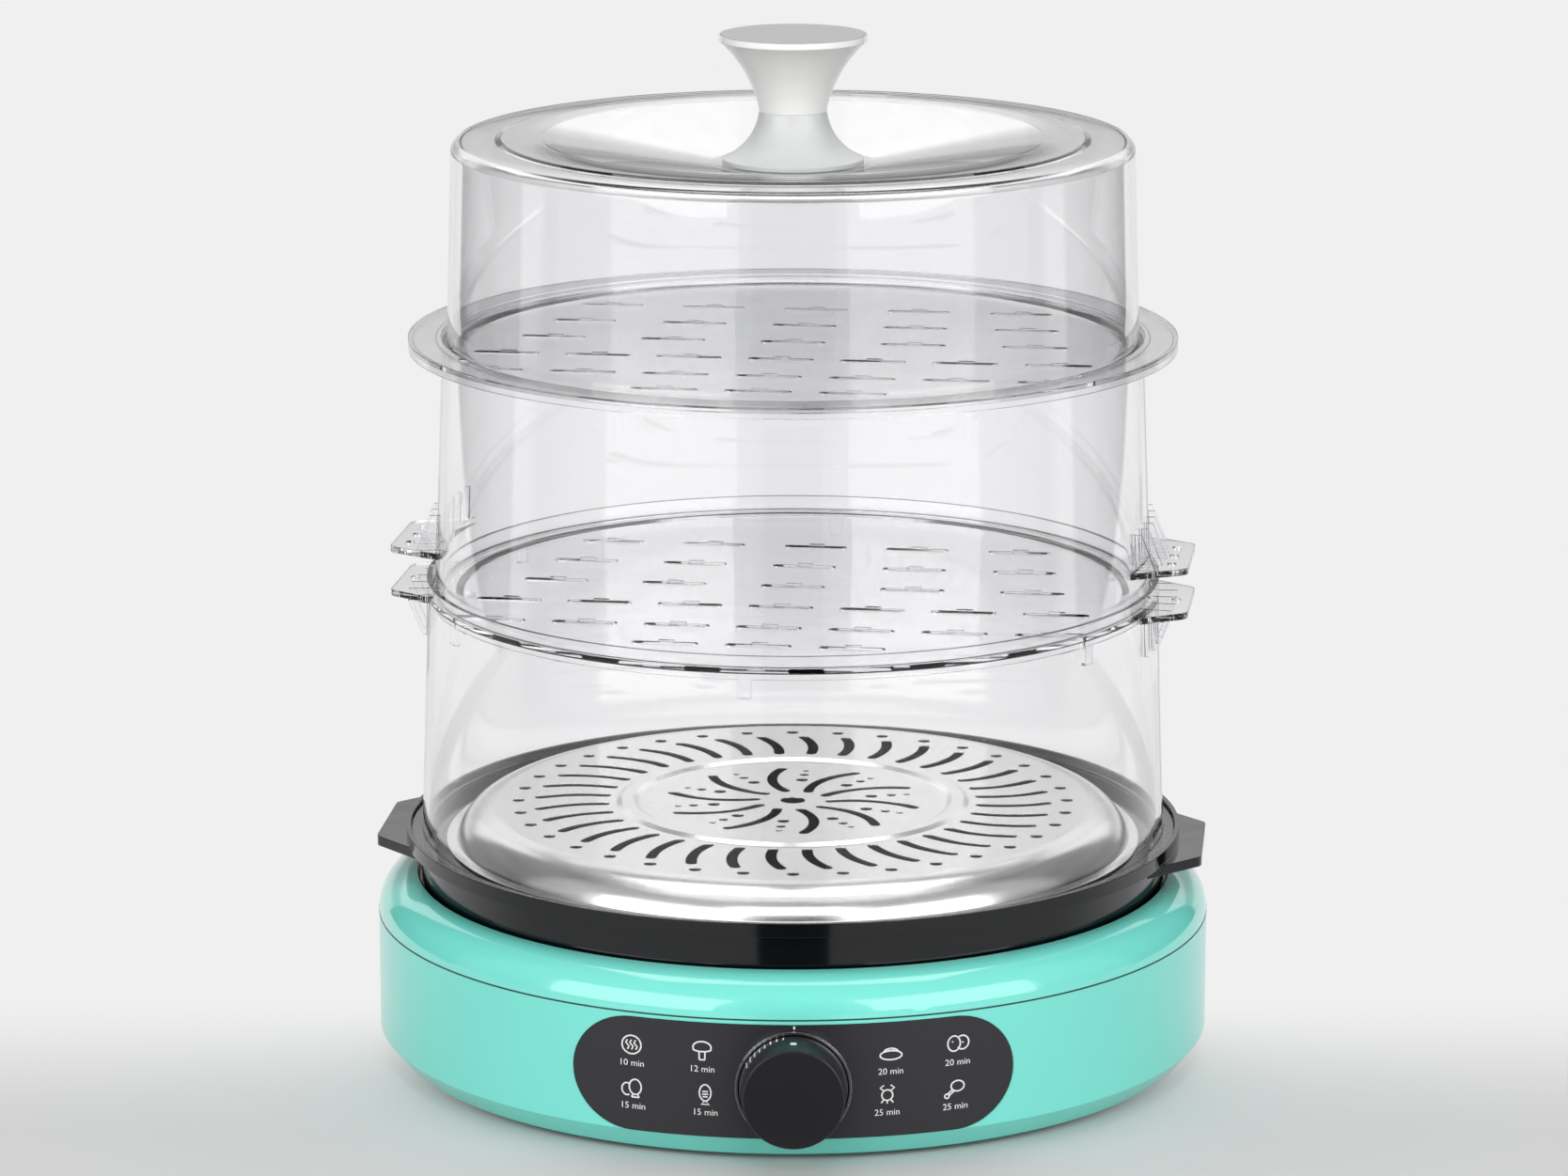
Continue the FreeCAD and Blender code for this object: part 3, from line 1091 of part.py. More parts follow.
lower_floor_under = "(tray_floor_rise - tray_floor_thickness)"
lower_tray = new_body("lower_tray", lower_tray_bottom, "-ear_turn")
turned(lower_tray, "floor", [
    ("0", lower_floor_under),
    (lower_lip_radius + " - tray_lip_wall", lower_floor_under),
    (lower_lip_radius + " - tray_lip_wall", lower_floor_under + " - tray_lip_depth"),
    (lower_lip_radius, lower_floor_under + " - tray_lip_depth"),
    (lower_lip_radius, "0"),
    ("tray_rim_radius", "0"),
    ("tray_rim_radius", "tray_rim_height"),
    ("tray_rim_radius - tray_rim_wall", "tray_rim_height"),
    ("tray_rim_radius - tray_rim_wall", "tray_seat"),
    ("tray_floor_radius + 3", "tray_seat"),
    ("tray_floor_radius", "tray_floor_rise"),
    ("0", "tray_floor_rise"),
])
tab_sketch = new_sketch(lower_tray, "tab_outline", raised=lower_floor_under)
outline(tab_sketch, [
    (lower_lip_radius + " - tab_thickness", "-tab_width / 2"),
    (lower_lip_radius, "-tab_width / 2"),
    (lower_lip_radius, "tab_width / 2"),
    (lower_lip_radius + " - tab_thickness", "tab_width / 2"),
])
tab_sketch.AttachmentOffset = FreeCAD.Placement(Vec(0, 0, number(lower_floor_under)),
                                                FreeCAD.Rotation(Vec(0, 0, 1), number("tab_turn")))
tab = padded(lower_tray, "tab", tab_sketch, "tab_depth", downward=True)
spun(lower_tray, "tabs", [tab], "tab_count")
slot_rows(lower_tray, "lower")
node(lower_tray, "lower_tray")

upper_floor = "(tray_seat - upper_floor_drop)"
flange_under = "(upper_flange_height - upper_flange_thickness)"
upper_tray = new_body("upper_tray", upper_tray_bottom, "-ear_turn")
turned(upper_tray, "floor", [
    ("0", upper_floor + " - tray_floor_thickness"),
    (upper_lip_radius, upper_floor + " - tray_floor_thickness"),
    (upper_lip_radius, "0"),
    ("middle_top_radius + 2.2", "0"),
    ("middle_top_radius + 2.2", flange_under),
    ("upper_flange_radius - 1.7", flange_under),
    ("upper_flange_radius - 1.7", "upper_flange_height - upper_skirt_depth"),
    ("upper_flange_radius", "upper_flange_height - upper_skirt_depth"),
    ("upper_flange_radius", "upper_flange_height"),
    ("cover_seat_edge", "upper_flange_height"),
    ("cover_seat_edge", "tray_seat"),
    ("upper_floor_radius + 3.5", "tray_seat"),
    ("upper_floor_radius", upper_floor),
    ("0", upper_floor),
])
slot_rows(upper_tray, "upper")
node(upper_tray, "upper_tray")

# Tall cover in one piece, with a step, a dished middle and a steam vent, and the knob screwed to it.

shoulder_low = "(cover_height - cover_corner)"
dish_floor = "(cover_height - dish_drop)"
cover_inner_corner = "(cover_corner - clear_wall * 0.5)"
clear_cover = new_body("clear_cover", cover_bottom)
turned(clear_cover, "dome", [
    ("cover_foot_radius - clear_wall", "0"),
    ("cover_foot_radius", "0"),
    ("cover_top_radius", shoulder_low, "-cover_corner"),
    ("cover_top_radius - cover_corner", "cover_height"),
    ("step_radius", "cover_height"),
    ("step_radius - step_width", "cover_height + step_rise"),
    ("dish_radius", "cover_height + step_rise"),
    ("dish_flat_radius", dish_floor),
    ("0", dish_floor),
    ("0", dish_floor + " - clear_wall"),
    ("dish_flat_radius", dish_floor + " - clear_wall"),
    ("dish_radius", "cover_height + step_rise - clear_wall"),
    ("step_radius - step_width", "cover_height + step_rise - clear_wall"),
    ("step_radius", "cover_height - clear_wall"),
    ("cover_top_radius - clear_wall - " + cover_inner_corner, "cover_height - clear_wall", cover_inner_corner),
    ("cover_top_radius - clear_wall", "cover_height - clear_wall - " + cover_inner_corner),
])
screw_hole = new_sketch(clear_cover, "screw_hole_outline", raised=dish_floor)
ring_of(screw_hole, "grip_screw_radius + fit_gap")
pocketed(clear_cover, "screw_hole", screw_hole, "clear_wall + 2")
vent_outline = new_sketch(clear_cover, "steam_vent_outline", raised="cover_height + 1")
vent_turned = FreeCAD.Rotation(Vec(0, 0, 1), number("vent_turn") - 90)
vent_outline.AttachmentOffset = FreeCAD.Placement(Vec(0, 0, number("cover_height + 1")), vent_turned)
straight_slot(vent_outline, "0", "vent_place", "vent_length", "vent_width")
pocketed(clear_cover, "steam_vent", vent_outline, "clear_wall + 2")
node(clear_cover, "clear_cover")

bore_radius = "(grip_screw_radius + 0.05)"
screw_top = "(grip_screw_reach - clear_wall - washer_thickness)"
foot_body = new_body("grip_foot", grip_bottom)
turned(foot_body, "foot", [
    (bore_radius, "0"),
    ("grip_foot_radius", "0"),
    ("grip_foot_radius", "grip_foot_edge", "grip_foot_bend"),
    ("grip_waist_radius", "grip_seam_height"),
    (bore_radius, "grip_seam_height"),
])
node(foot_body, "grip_foot")
grip_body = new_body("grip_knob", grip_bottom)
turned(grip_body, "knob", [
    (bore_radius, "grip_seam_height"),
    ("grip_waist_radius", "grip_seam_height", "grip_bend"),
    ("grip_top_radius", "grip_height - grip_rim"),
    ("grip_top_radius", "grip_height"),
    ("cap_radius + 0.1", "grip_height"),
    ("cap_radius + 0.1", "grip_height - cap_recess"),
    ("0", "grip_height - cap_recess"),
    ("0", screw_top + " + 1"),
    (bore_radius, screw_top + " + 1"),
])
node(grip_body, "grip_knob")
node(cylinder("grip_cap", "cap_radius", "cap_thickness", up=grip_bottom + " + grip_height - cap_recess"),
     "grip_cap")
washer_disc = cylinder("washer_disc", "washer_radius", "washer_thickness",
                       up=grip_bottom + " - clear_wall - washer_thickness")
washer_bore = cylinder("washer_bore", "grip_screw_radius + fit_gap", "washer_thickness + 2",
                       up=grip_bottom + " - clear_wall - washer_thickness - 1")
node(less("grip_washer", washer_disc, washer_bore), "grip_washer")
screw_seat = grip_bottom + " - clear_wall - washer_thickness"
screw_head = cylinder("grip_screw_head", "grip_head_radius", "grip_head_height",
                      up=screw_seat + " - grip_head_height")
screw_shank = cylinder("grip_screw_shank", "grip_screw_radius", "grip_screw_reach", up=screw_seat)
node(joined("grip_screw", [screw_head, screw_shank]), "grip_screw")

doc.recompute()

# Every object must be in order before anything is written.

for feature in doc.Objects:
    if "Invalid" in feature.State or "Error" in feature.State:
        raise RuntimeError("%s failed: %s" % (feature.Name, feature.State))
for feature in NODES:
    shape = feature.Shape
    if shape.isNull() or not shape.isValid():
        raise RuntimeError("%s has no valid shape" % feature.Label)
    print("%-16s solids %d volume %10.1f  z %.1f to %.1f" % (
        feature.Label, len(shape.Solids), shape.Volume, shape.BoundBox.ZMin, shape.BoundBox.ZMax))
for feature in NODES:
    feature.Shape.exportStep("parts/%s.step" % feature.Label)
print("wrote", len(NODES), "parts")
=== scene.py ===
# %% [markdown]
# # A stacked food steamer in a pale studio
# The parts of the steamer arrive as finished shapes, all in one frame: metres, Z up, the timer knob towards -Y.
# This lesson gives each of them a surface, prints the control panel, and then lights and photographs the whole.

import math

import bpy
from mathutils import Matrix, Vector


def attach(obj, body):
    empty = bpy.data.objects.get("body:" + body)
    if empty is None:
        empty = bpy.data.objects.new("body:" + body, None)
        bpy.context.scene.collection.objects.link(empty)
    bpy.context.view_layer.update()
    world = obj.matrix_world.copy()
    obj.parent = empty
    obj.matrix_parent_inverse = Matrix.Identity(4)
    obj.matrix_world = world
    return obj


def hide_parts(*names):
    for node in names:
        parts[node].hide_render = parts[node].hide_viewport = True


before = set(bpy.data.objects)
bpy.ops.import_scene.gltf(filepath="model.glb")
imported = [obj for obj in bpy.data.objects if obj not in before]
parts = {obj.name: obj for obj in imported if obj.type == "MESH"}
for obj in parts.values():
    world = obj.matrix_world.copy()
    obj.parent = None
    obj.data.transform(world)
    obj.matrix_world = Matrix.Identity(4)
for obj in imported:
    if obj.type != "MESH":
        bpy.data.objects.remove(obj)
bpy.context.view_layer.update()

# %% [markdown]
# ## Arithmetic inside a material
# A `Value` wraps one output of a material's nodes. Adding, subtracting or multiplying two of them, or one and a
# plain number, adds the matching maths node, so a pattern reads like a formula.
# A `Recipe` is one material: `add` puts a node in it and hands back its output as a `Value`.


# %% Values and recipes
class Value:
    def __init__(self, tree, socket):
        self.tree, self.socket = tree, socket

    def _math(self, operation, *items):
        node = self.tree.nodes.new("ShaderNodeMath")
        node.operation = operation
        for slot, item in zip(node.inputs, items):
            if isinstance(item, Value):
                self.tree.links.new(item.socket, slot)
            else:
                slot.default_value = item
        return Value(self.tree, node.outputs[0])

    def __add__(self, other):
        return self._math("ADD", self, other)

    def __sub__(self, other):
        return self._math("SUBTRACT", self, other)

    def __mul__(self, other):
        return self._math("MULTIPLY", self, other)

    def __pow__(self, other):
        return self._math("POWER", self, other)

    __radd__, __rmul__ = __add__, __mul__

    def above(self, edge):
        return self._math("GREATER_THAN", self, edge)

    def angle(self, other):
        return self._math("ARCTAN2", self, other)


class Recipe:
    def __init__(self, name):
        self.material = bpy.data.materials.new(name)
        self.material.use_nodes = True
        self.tree = self.material.node_tree
        self.tree.nodes.clear()

    def add(self, kind, output=0, inputs=None, **settings):
        node = self.tree.nodes.new(kind)
        for name, value in settings.items():
            setattr(node, name, value)
        for name, value in (inputs or {}).items():
            slot = node.inputs[name]
            if isinstance(value, Value):
                self.tree.links.new(value.socket, slot)
            else:
                slot.default_value = value
        return Value(self.tree, node.outputs[output])

    def place(self):
        return self.add("ShaderNodeTexCoord", "Object")

    def spread(self):
        """The place on the object as three values: across, along and up."""
        split = self.tree.nodes.new("ShaderNodeSeparateXYZ")
        self.tree.links.new(self.place().socket, split.inputs[0])
        return [Value(self.tree, socket) for socket in split.outputs]

    def noise(self, scale, detail=2.0, where=None):
        return self.add("ShaderNodeTexNoise", "Fac",
                        {"Vector": where or self.place(), "Scale": scale, "Detail": detail})

    def bump(self, height, strength, distance, normal):
        return self.add("ShaderNodeBump", 0, {"Height": height, "Strength": strength, "Distance": distance,
                                              "Normal": normal})

    def between(self, first, second, share):
        return self.add("ShaderNodeMix", 2, {0: share, 6: first, 7: second}, data_type="RGBA")

    def done(self, surface):
        end = self.tree.nodes.new("ShaderNodeOutputMaterial")
        self.tree.links.new(surface.socket, end.inputs["Surface"])
        return self.material


def colour(red, green, blue):
    """A colour as it is read off a screen, 0 to 255, turned into light."""
    linear = [(c / 255 / 12.92) if c < 11 else ((c / 255 + 0.055) / 1.055) ** 2.4 for c in (red, green, blue)]
    return (*linear, 1.0)


print("a mid grey is", [round(c, 3) for c in colour(128, 128, 128)])

# %% [markdown]
# ## Plain finishes
# Most parts are moulded or cast. Their gloss wanders a little from place to place, their surface carries a faint
# wave or grain, and their edges are slightly rounded, which the bevel node does to the light alone.


# %% A moulded or cast finish
def moulded(name, tint, rough, metal=0.0, coat=0.0, wander=0.05, wave=(30, 0.02), grain=(2500, 0.0), edge=0.0004,
            tone=0.03):
    recipe = Recipe(name)
    slow = recipe.noise(35, 3)
    shade = tuple(c * (1 - 2 * tone) for c in tint[:3]) + (1.0,)
    soft_edge = recipe.add("ShaderNodeBevel", 0, {"Radius": edge}, samples=4)
    waved = recipe.bump(recipe.noise(wave[0], 1), wave[1], 0.002, soft_edge)
    grained = recipe.bump(recipe.noise(grain[0], 2), grain[1], 0.0002, waved)
    return recipe.done(recipe.add("ShaderNodeBsdfPrincipled", 0, {
        "Base Color": recipe.between(shade, tint, slow),
        "Roughness": rough + (slow - 0.5) * wander,
        "Metallic": metal,
        "Coat Weight": coat,
        "Coat Roughness": 0.03,
        "Normal": grained,
    }))


MINT = colour(118, 220, 206)
finishes = {
    "mint shell": moulded("mint shell", MINT, 0.22, coat=0.35, wander=0.04, wave=(18, 0.02), tone=0.01),
    "mint cover": moulded("mint cover", MINT, 0.14, coat=0.6, wander=0.03, wave=(14, 0.02), tone=0.01),
    "dark base": moulded("dark base", colour(48, 48, 50), 0.5, grain=(2500, 0.2)),
    "panel": moulded("panel", colour(34, 33, 37), 0.34, wander=0.04, edge=0.0003, tone=0.04),
    "knob": moulded("knob", colour(20, 20, 24), 0.42, grain=(4000, 0.05), edge=0.0007),
    "ring": moulded("ring", colour(225, 226, 230), 0.12, metal=1.0, edge=0.0002),
    "timer case": moulded("timer case", colour(130, 131, 134), 0.5, grain=(2500, 0.1)),
    "fixings": moulded("fixings", colour(205, 207, 210), 0.3, metal=1.0, wander=0.15),
    "rubber": moulded("rubber", colour(40, 40, 42), 0.7, grain=(3000, 0.3)),
    "cast metal": moulded("cast metal", colour(190, 191, 193), 0.42, metal=1.0, grain=(1500, 0.25)),
    "heater tube": moulded("heater tube", colour(120, 118, 115), 0.45, metal=1.0, wander=0.2),
    "rolled sheet": moulded("rolled sheet", colour(214, 214, 216), 0.25, metal=1.0, wander=0.1),
    "ceramic": moulded("ceramic", colour(226, 224, 216), 0.4, grain=(2500, 0.1)),
    "dark coating": moulded("dark coating", colour(6, 8, 12), 0.1, coat=0.0, wander=0.05, wave=(60, 0.03),
                            edge=0.0006),
    "white grip": moulded("white grip", colour(252, 252, 250), 0.2, coat=0.3, edge=0.0006, tone=0.005),
    "grey cap": moulded("grey cap", colour(176, 176, 178), 0.45, grain=(3500, 0.1)),
    "print": moulded("print", colour(226, 226, 228), 0.5, tone=0.02),
    # Painted shade: the seam band is mint darkened to the shade in the groove between shoulder and wall.
    "seam_shade": moulded("seam_shade", colour(30, 66, 62), 0.6, edge=0.0001),
}
print(len(finishes), "plain finishes")

# %% [markdown]
# ## Frosted foot of the grip
# The lower half of the lid's grip lets a little light in below its surface, which softens its shading.


# %% Frosted plastic
def frosted(name):
    recipe = Recipe(name)
    slow = recipe.noise(60, 2)
    return recipe.done(recipe.add("ShaderNodeBsdfPrincipled", 0, {
        "Base Color": recipe.between(colour(242, 245, 245), colour(248, 250, 250), slow),
        "Roughness": 0.3 + slow * 0.08,
        "Transmission Weight": 0.25,
        "IOR": 1.49,
        "Normal": recipe.bump(recipe.noise(2500), 0.08, 0.0002, recipe.add("ShaderNodeBevel", 0, {"Radius": 0.0005})),
    }))


finishes["frosted grip"] = frosted("frosted grip")

# %% [markdown]
# ## Brushed sheet steel
# The perforated plate was brushed while it turned, so its scratches are rings. The distance from the middle
# drives a one-dimensional noise, and a second noise along the angle breaks the rings into strokes.


# %% Steel brushed in rings
def brushed(name):
    recipe = Recipe(name)
    across, along, up = recipe.spread()
    reach = (across * across + along * along) ** 0.5
    turn = across.angle(along)
    where = recipe.add("ShaderNodeCombineXYZ", 0, {"X": reach * 5200, "Y": turn * 9, "Z": up * 5200})
    strokes = recipe.noise(1.0, 3, where)
    broad = recipe.noise(1.0, 1, recipe.add("ShaderNodeCombineXYZ", 0, {"X": reach * 160, "Y": turn * 2}))
    rounded = recipe.add("ShaderNodeBevel", 0, {"Radius": 0.0004})
    return recipe.done(recipe.add("ShaderNodeBsdfPrincipled", 0, {
        "Base Color": recipe.between(colour(224, 222, 219), colour(246, 245, 243), strokes),
        "Metallic": 1.0,
        "Roughness": 0.17 + strokes * 0.08 + (broad - 0.5) * 0.05,
        "Normal": recipe.bump(strokes, 0.12, 0.0001, rounded),
    }))


finishes["brushed plate"] = brushed("brushed plate")

# %% [markdown]
# ## Clear plastic
# Light passes through the rings, racks and lid and bends on the way. A shadow ray goes straight through with a
# small loss instead, so that what stands inside is lit too.


# %% Clear plastic, polished or slightly matt
def clear(name, rough, wave, tint=(0.988, 0.989, 0.997, 1.0), shade=0.94):
    recipe = Recipe(name)
    slow = recipe.noise(25, 2)
    body = recipe.add("ShaderNodeBsdfPrincipled", 0, {
        "Base Color": tint,
        "Roughness": rough * (0.7 + 0.6 * slow),
        "Transmission Weight": 1.0,
        "IOR": 1.49,
        "Normal": recipe.bump(slow, wave, 0.001, recipe.add("ShaderNodeBevel", 0, {"Radius": 0.0004})),
    })
    through = recipe.add("ShaderNodeBsdfTransparent", 0, {"Color": (shade, shade, shade * 1.01, 1.0)})
    shadow = recipe.add("ShaderNodeLightPath", "Is Shadow Ray")
    mixed = recipe.add("ShaderNodeMixShader", 0, {0: shadow, 1: body, 2: through})
    return recipe.done(mixed)


finishes["clear wall"] = clear("clear wall", 0.012, 0.02)
finishes["clear rack"] = clear("clear rack", 0.03, 0.05)
finishes["satin rack"] = clear("satin rack", 0.1, 0.05)
print(len(finishes), "finishes in all")

# %% [markdown]
# ## Dress the parts
# Every part takes one of these finishes.

# %% Who wears what
wardrobe = {
    "mint shell": ["base_housing"],
    "mint cover": ["top_cover"],
    "dark base": ["bottom_plate"],
    "panel": ["control_panel"],
    "knob": ["timer_knob"],
    "ring": ["knob_bezel"],
    "timer case": ["timer_body"],
    "fixings": ["base_screws", "timer_nut", "timer_shaft", "grip_screw"],
    "rubber": ["rubber_feet", "inlet_bush"],
    "cast metal": ["hot_plate"],
    "heater tube": ["heating_element"],
    "rolled sheet": ["thermostat", "thermal_fuse", "fuse_strap", "heat_shield"],
    "ceramic": ["terminal_block", "grip_washer"],
    "dark coating": ["water_pan"],
    "brushed plate": ["steam_plate"],
    "clear wall": ["lower_ring", "middle_ring", "clear_cover"],
    "clear rack": ["lower_tray"],
    "satin rack": ["upper_tray"],
    "frosted grip": ["grip_foot"],
    "white grip": ["grip_knob"],
    "grey cap": ["grip_cap"],
}
for finish, names in wardrobe.items():
    for name in names:
        part = parts[name]
        part.data.materials.clear()
        part.data.materials.append(finishes[finish])
print("dressed", sum(len(names) for names in wardrobe.values()), "parts; bare:",
      sorted(set(parts) - {name for names in wardrobe.values() for name in names}))

# %% [markdown]
# ## The lid, turned on a fine lathe
# A clear rim shows every flat of a coarse mesh, so the lid is turned again from its profile, with many steps and
# small roundings. The steam vent is cut through its flat ring near the back.


# %% Turn and cut the lid
SHARPEST_BEND = math.radians(11)


def lathe(name, profile, finish, steps=384):
    """Turns a closed outline of (radius, height) in millimetres round the upright axis."""
    turns = [2 * math.pi * i / steps for i in range(steps)]
    corners = [Vector((radius * math.cos(turn), radius * math.sin(turn), up)) / 1000
               for turn in turns for radius, up in profile]
    count = len(profile)
    faces = [(a * count + i, (a + 1) % steps * count + i, (a + 1) % steps * count + (i + 1) % count,
              a * count + (i + 1) % count) for a in range(steps) for i in range(count)]
    mesh = bpy.data.meshes.new(name)
    mesh.from_pydata(corners, [], faces)
    mesh.materials.append(finishes[finish])
    mesh.polygons.foreach_set("use_smooth", [True] * len(mesh.polygons))
    mesh.set_sharp_from_angle(angle=SHARPEST_BEND)
    made = bpy.data.objects.new(name, mesh)
    bpy.context.scene.collection.objects.link(made)
    return made


def arc(radius, centre, start, stop, steps=8):
    return [(centre[0] + radius * math.cos(math.radians(start + (stop - start) * i / steps)),
             centre[1] + radius * math.sin(math.radians(start + (stop - start) * i / steps))) for i in range(steps + 1)]


LID_FOOT, LID_RIM = 277.4, 353.4
lid_profile = (
    [(129.1, LID_FOOT + 0.3), (129.4, LID_FOOT), (131.0, LID_FOOT), (131.3, LID_FOOT + 0.3)]
    + arc(3.4, (125.6, LID_RIM - 3.4), 0, 90, 12)
    + [(112.4, LID_RIM), (111.8, LID_RIM + 0.15), (110.7, LID_RIM + 0.85), (110.1, LID_RIM + 1.0)]
    + [(95.6, LID_RIM + 1.0), (94.4, LID_RIM + 0.9), (32.0, LID_RIM - 8.9), (30.4, LID_RIM - 9.0)]
    + [(2.3, LID_RIM - 9.0), (2.3, LID_RIM - 11.2), (30.6, LID_RIM - 11.2), (31.6, LID_RIM - 11.1), (94.6, LID_RIM - 1.3),
       (95.4, LID_RIM - 1.2), (110.0, LID_RIM - 1.2), (110.6, LID_RIM - 1.35), (111.6, LID_RIM - 2.05),
       (112.2, LID_RIM - 2.2)]
    + arc(2.3, (124.5, LID_RIM - 4.5), 90, 0, 10)
)
lid = lathe("lid_shell", lid_profile, "clear wall")
slot_turn, slot_reach, slot_half, slot_width = math.radians(75), 119.0, 7.0, 1.5
outline = [(slot_half + x, y) for x, y in arc(slot_width, (0, 0), -90, 90)] + \
    [(x - slot_half, y) for x, y in arc(slot_width, (0, 0), 90, 270)]
place = [(x * math.sin(slot_turn) + (slot_reach + y) * math.cos(slot_turn),
          -x * math.cos(slot_turn) + (slot_reach + y) * math.sin(slot_turn)) for x, y in outline]
count = len(place)
mesh = bpy.data.meshes.new("vent_cutter")
mesh.from_pydata([Vector((x, y, up)) / 1000 for up in (LID_RIM - 6, LID_RIM + 6) for x, y in place], [],
                 [tuple(range(count))[::-1], tuple(range(count, 2 * count))]
                 + [(i, (i + 1) % count, count + (i + 1) % count, count + i) for i in range(count)])
cutter = bpy.data.objects.new("vent_cutter", mesh)
bpy.context.scene.collection.objects.link(cutter)
cut = lid.modifiers.new("vent", "BOOLEAN")
cut.operation, cut.object, cut.solver = "DIFFERENCE", cutter, "EXACT"
bpy.context.view_layer.update()
lid.data = bpy.data.meshes.new_from_object(lid.evaluated_get(bpy.context.evaluated_depsgraph_get()))
lid.modifiers.clear()
bpy.data.objects.remove(cutter)
lid.data.set_sharp_from_angle(angle=SHARPEST_BEND)
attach(lid, "cover")
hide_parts("clear_cover")
print("lid:", len(lid.data.vertices), "corners")

# %% [markdown]
# ## Print on the curved panel
# The panel is part of an upright cylinder, so a print is drawn flat, in millimetres across and up, and then laid
# on the cylinder. A line of the drawing becomes a thin ribbon.

# %% Ribbons and lettering on a cylinder
PANEL_RADIUS = 160.4
PRINT_LIFT = 0.05


def on_panel(across, up):
    reach = PANEL_RADIUS + PRINT_LIFT
    return Vector((across, -math.sqrt(reach ** 2 - across ** 2), up)) / 1000


def piece(name, corners, faces, finish, body):
    mesh = bpy.data.meshes.new(name)
    mesh.from_pydata(corners, [], faces)
    mesh.materials.append(finishes[finish])
    made = bpy.data.objects.new(name, mesh)
    bpy.context.scene.collection.objects.link(made)
    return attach(made, body)


def ribbon(line, width, corners, faces):
    """Adds a ribbon along the points of a flat line."""
    first = len(corners)
    for index, point in enumerate(line):
        before, after = Vector(line[max(index - 1, 0)]), Vector(line[min(index + 1, len(line) - 1)])
        along = (after - before).normalized()
        side = Vector((-along.y, along.x)) * width / 2
        corners += [Vector(point) + side, Vector(point) - side]
    for index in range(len(line) - 1):
        a = first + 2 * index
        faces.append((a, a + 1, a + 3, a + 2))


def loop(radius_x, radius_y, x=0.0, y=0.0, start=0, stop=360, steps=24):
    return [(x + radius_x * math.cos(math.radians(start + (stop - start) * i / steps)),
             y + radius_y * math.sin(math.radians(start + (stop - start) * i / steps))) for i in range(steps + 1)]


def lettering(text, size):
    curve = bpy.data.curves.new("lettering", "FONT")
    curve.body, curve.size, curve.align_x, curve.resolution_u = text, size, "CENTER", 3
    holder = bpy.data.objects.new("lettering", curve)
    bpy.context.scene.collection.objects.link(holder)
    bpy.context.view_layer.update()
    mesh = bpy.data.meshes.new_from_object(holder)
    corners = [vertex.co.copy() for vertex in mesh.vertices]
    faces = [tuple(polygon.vertices) for polygon in mesh.polygons]
    bpy.data.objects.remove(holder)
    return corners, faces


print("the panel's print lies", PRINT_LIFT, "mm in front of it")

# %% [markdown]
# ## Eight small pictures and their times
# The pictures are simple outlines of what can be steamed. Each has a number of minutes under it.

# %% Draw the panel
PICTURES = {
    "steam": [loop(3.5, 3.5)] + [[(x, -1.8), (x + 0.6, -0.7), (x - 0.6, 0.7), (x, 1.8)] for x in (-1.5, 0, 1.5)],
    "greens": [loop(3.3, 2.2, 0, 1.3, -20, 200), loop(3.3, 0.9, 0, 0.6, 180, 360), [(-1.1, 0), (-1.0, -3.4)],
               [(1.1, 0), (1.0, -3.4)], [(-1.0, -3.4), (1.0, -3.4)]],
    "dumpling": [loop(4.0, 1.7, 0, -0.8), loop(2.7, 1.6, 0, 0.2, 10, 170), [(-1.1, 1.5), (-0.7, 0.5)],
                 [(0, 1.8), (0, 0.6)], [(1.1, 1.5), (0.7, 0.5)]],
    "roots": [loop(2.3, 2.9, -1.4, 0.2), loop(2.3, 2.6, 1.7, 0.4, -140, 140), [(-2.2, 0.9), (-1.7, 0.9)],
              [(1.5, 0.4), (2.1, 0.4)]],
    "egg": [loop(2.2, 2.9, 0.9, 0.3), loop(1.8, 2.3, -2.2, -0.7, 60, 300), [(0.1, -2.4), (-0.5, -3.6)],
            [(1.7, -2.4), (2.3, -3.6)], [(-0.5, -3.6), (2.3, -3.6)]],
    "fish": [loop(2.1, 3.1, 0, 0.5), [(0, -2.5), (-1.5, -3.9), (1.5, -3.9), (0, -2.5)], [(-1.0, 1.0), (1.0, 1.0)],
             [(-1.1, 0.0), (1.1, 0.0)], [(-0.9, -1.0), (0.9, -1.0)]],
    "shell": [loop(2.0, 2.0, 0, -0.4), [(-1.2, 1.2), (-2.6, 2.4), (-1.2, 3.4)], [(1.2, 1.2), (2.6, 2.4), (1.2, 3.4)],
              [(-1.2, -2.0), (-2.2, -3.3)], [(1.2, -2.0), (2.2, -3.3)], [(0, -2.4), (0, -3.6)]],
    "leg": [loop(2.4, 2.0, 0.8, 0.8), [(-1.0, -0.4), (-3.0, -2.1)], [(-0.4, -1.0), (-2.4, -2.7)],
            loop(0.8, 0.8, -3.1, -2.8)],
}
LAYOUT = [
    ("steam", -59.0, 43.0, "10"), ("greens", -33.2, 43.0, "12"), ("dumpling", 35.5, 42.0, "20"),
    ("roots", 60.0, 43.2, "20"), ("egg", -58.6, 26.7, "15"), ("fish", -32.1, 26.6, "15"),
    ("shell", 34.2, 26.5, "25"), ("leg", 59.2, 26.4, "25"),
]
LINE_WIDTH, LETTER_SIZE, LETTER_DROP = 0.55, 3.4, 8.0
corners, faces = [], []
for picture, across, up, minutes in LAYOUT:
    for line in PICTURES[picture]:
        ribbon([(across + x, up + y) for x, y in line], LINE_WIDTH, corners, faces)
    letters, letter_faces = lettering(minutes + " min", LETTER_SIZE)
    first = len(corners)
    corners += [Vector((across + point.x, up - LETTER_DROP + point.y)) for point in letters]
    faces += [tuple(first + i for i in face) for face in letter_faces]
ribbon([(0.3, 52.1), (0.3, 53.3)], 0.7, corners, faces)
panel_print = piece("panel_print", [on_panel(point.x, point.y) for point in corners], faces, "print", "base")
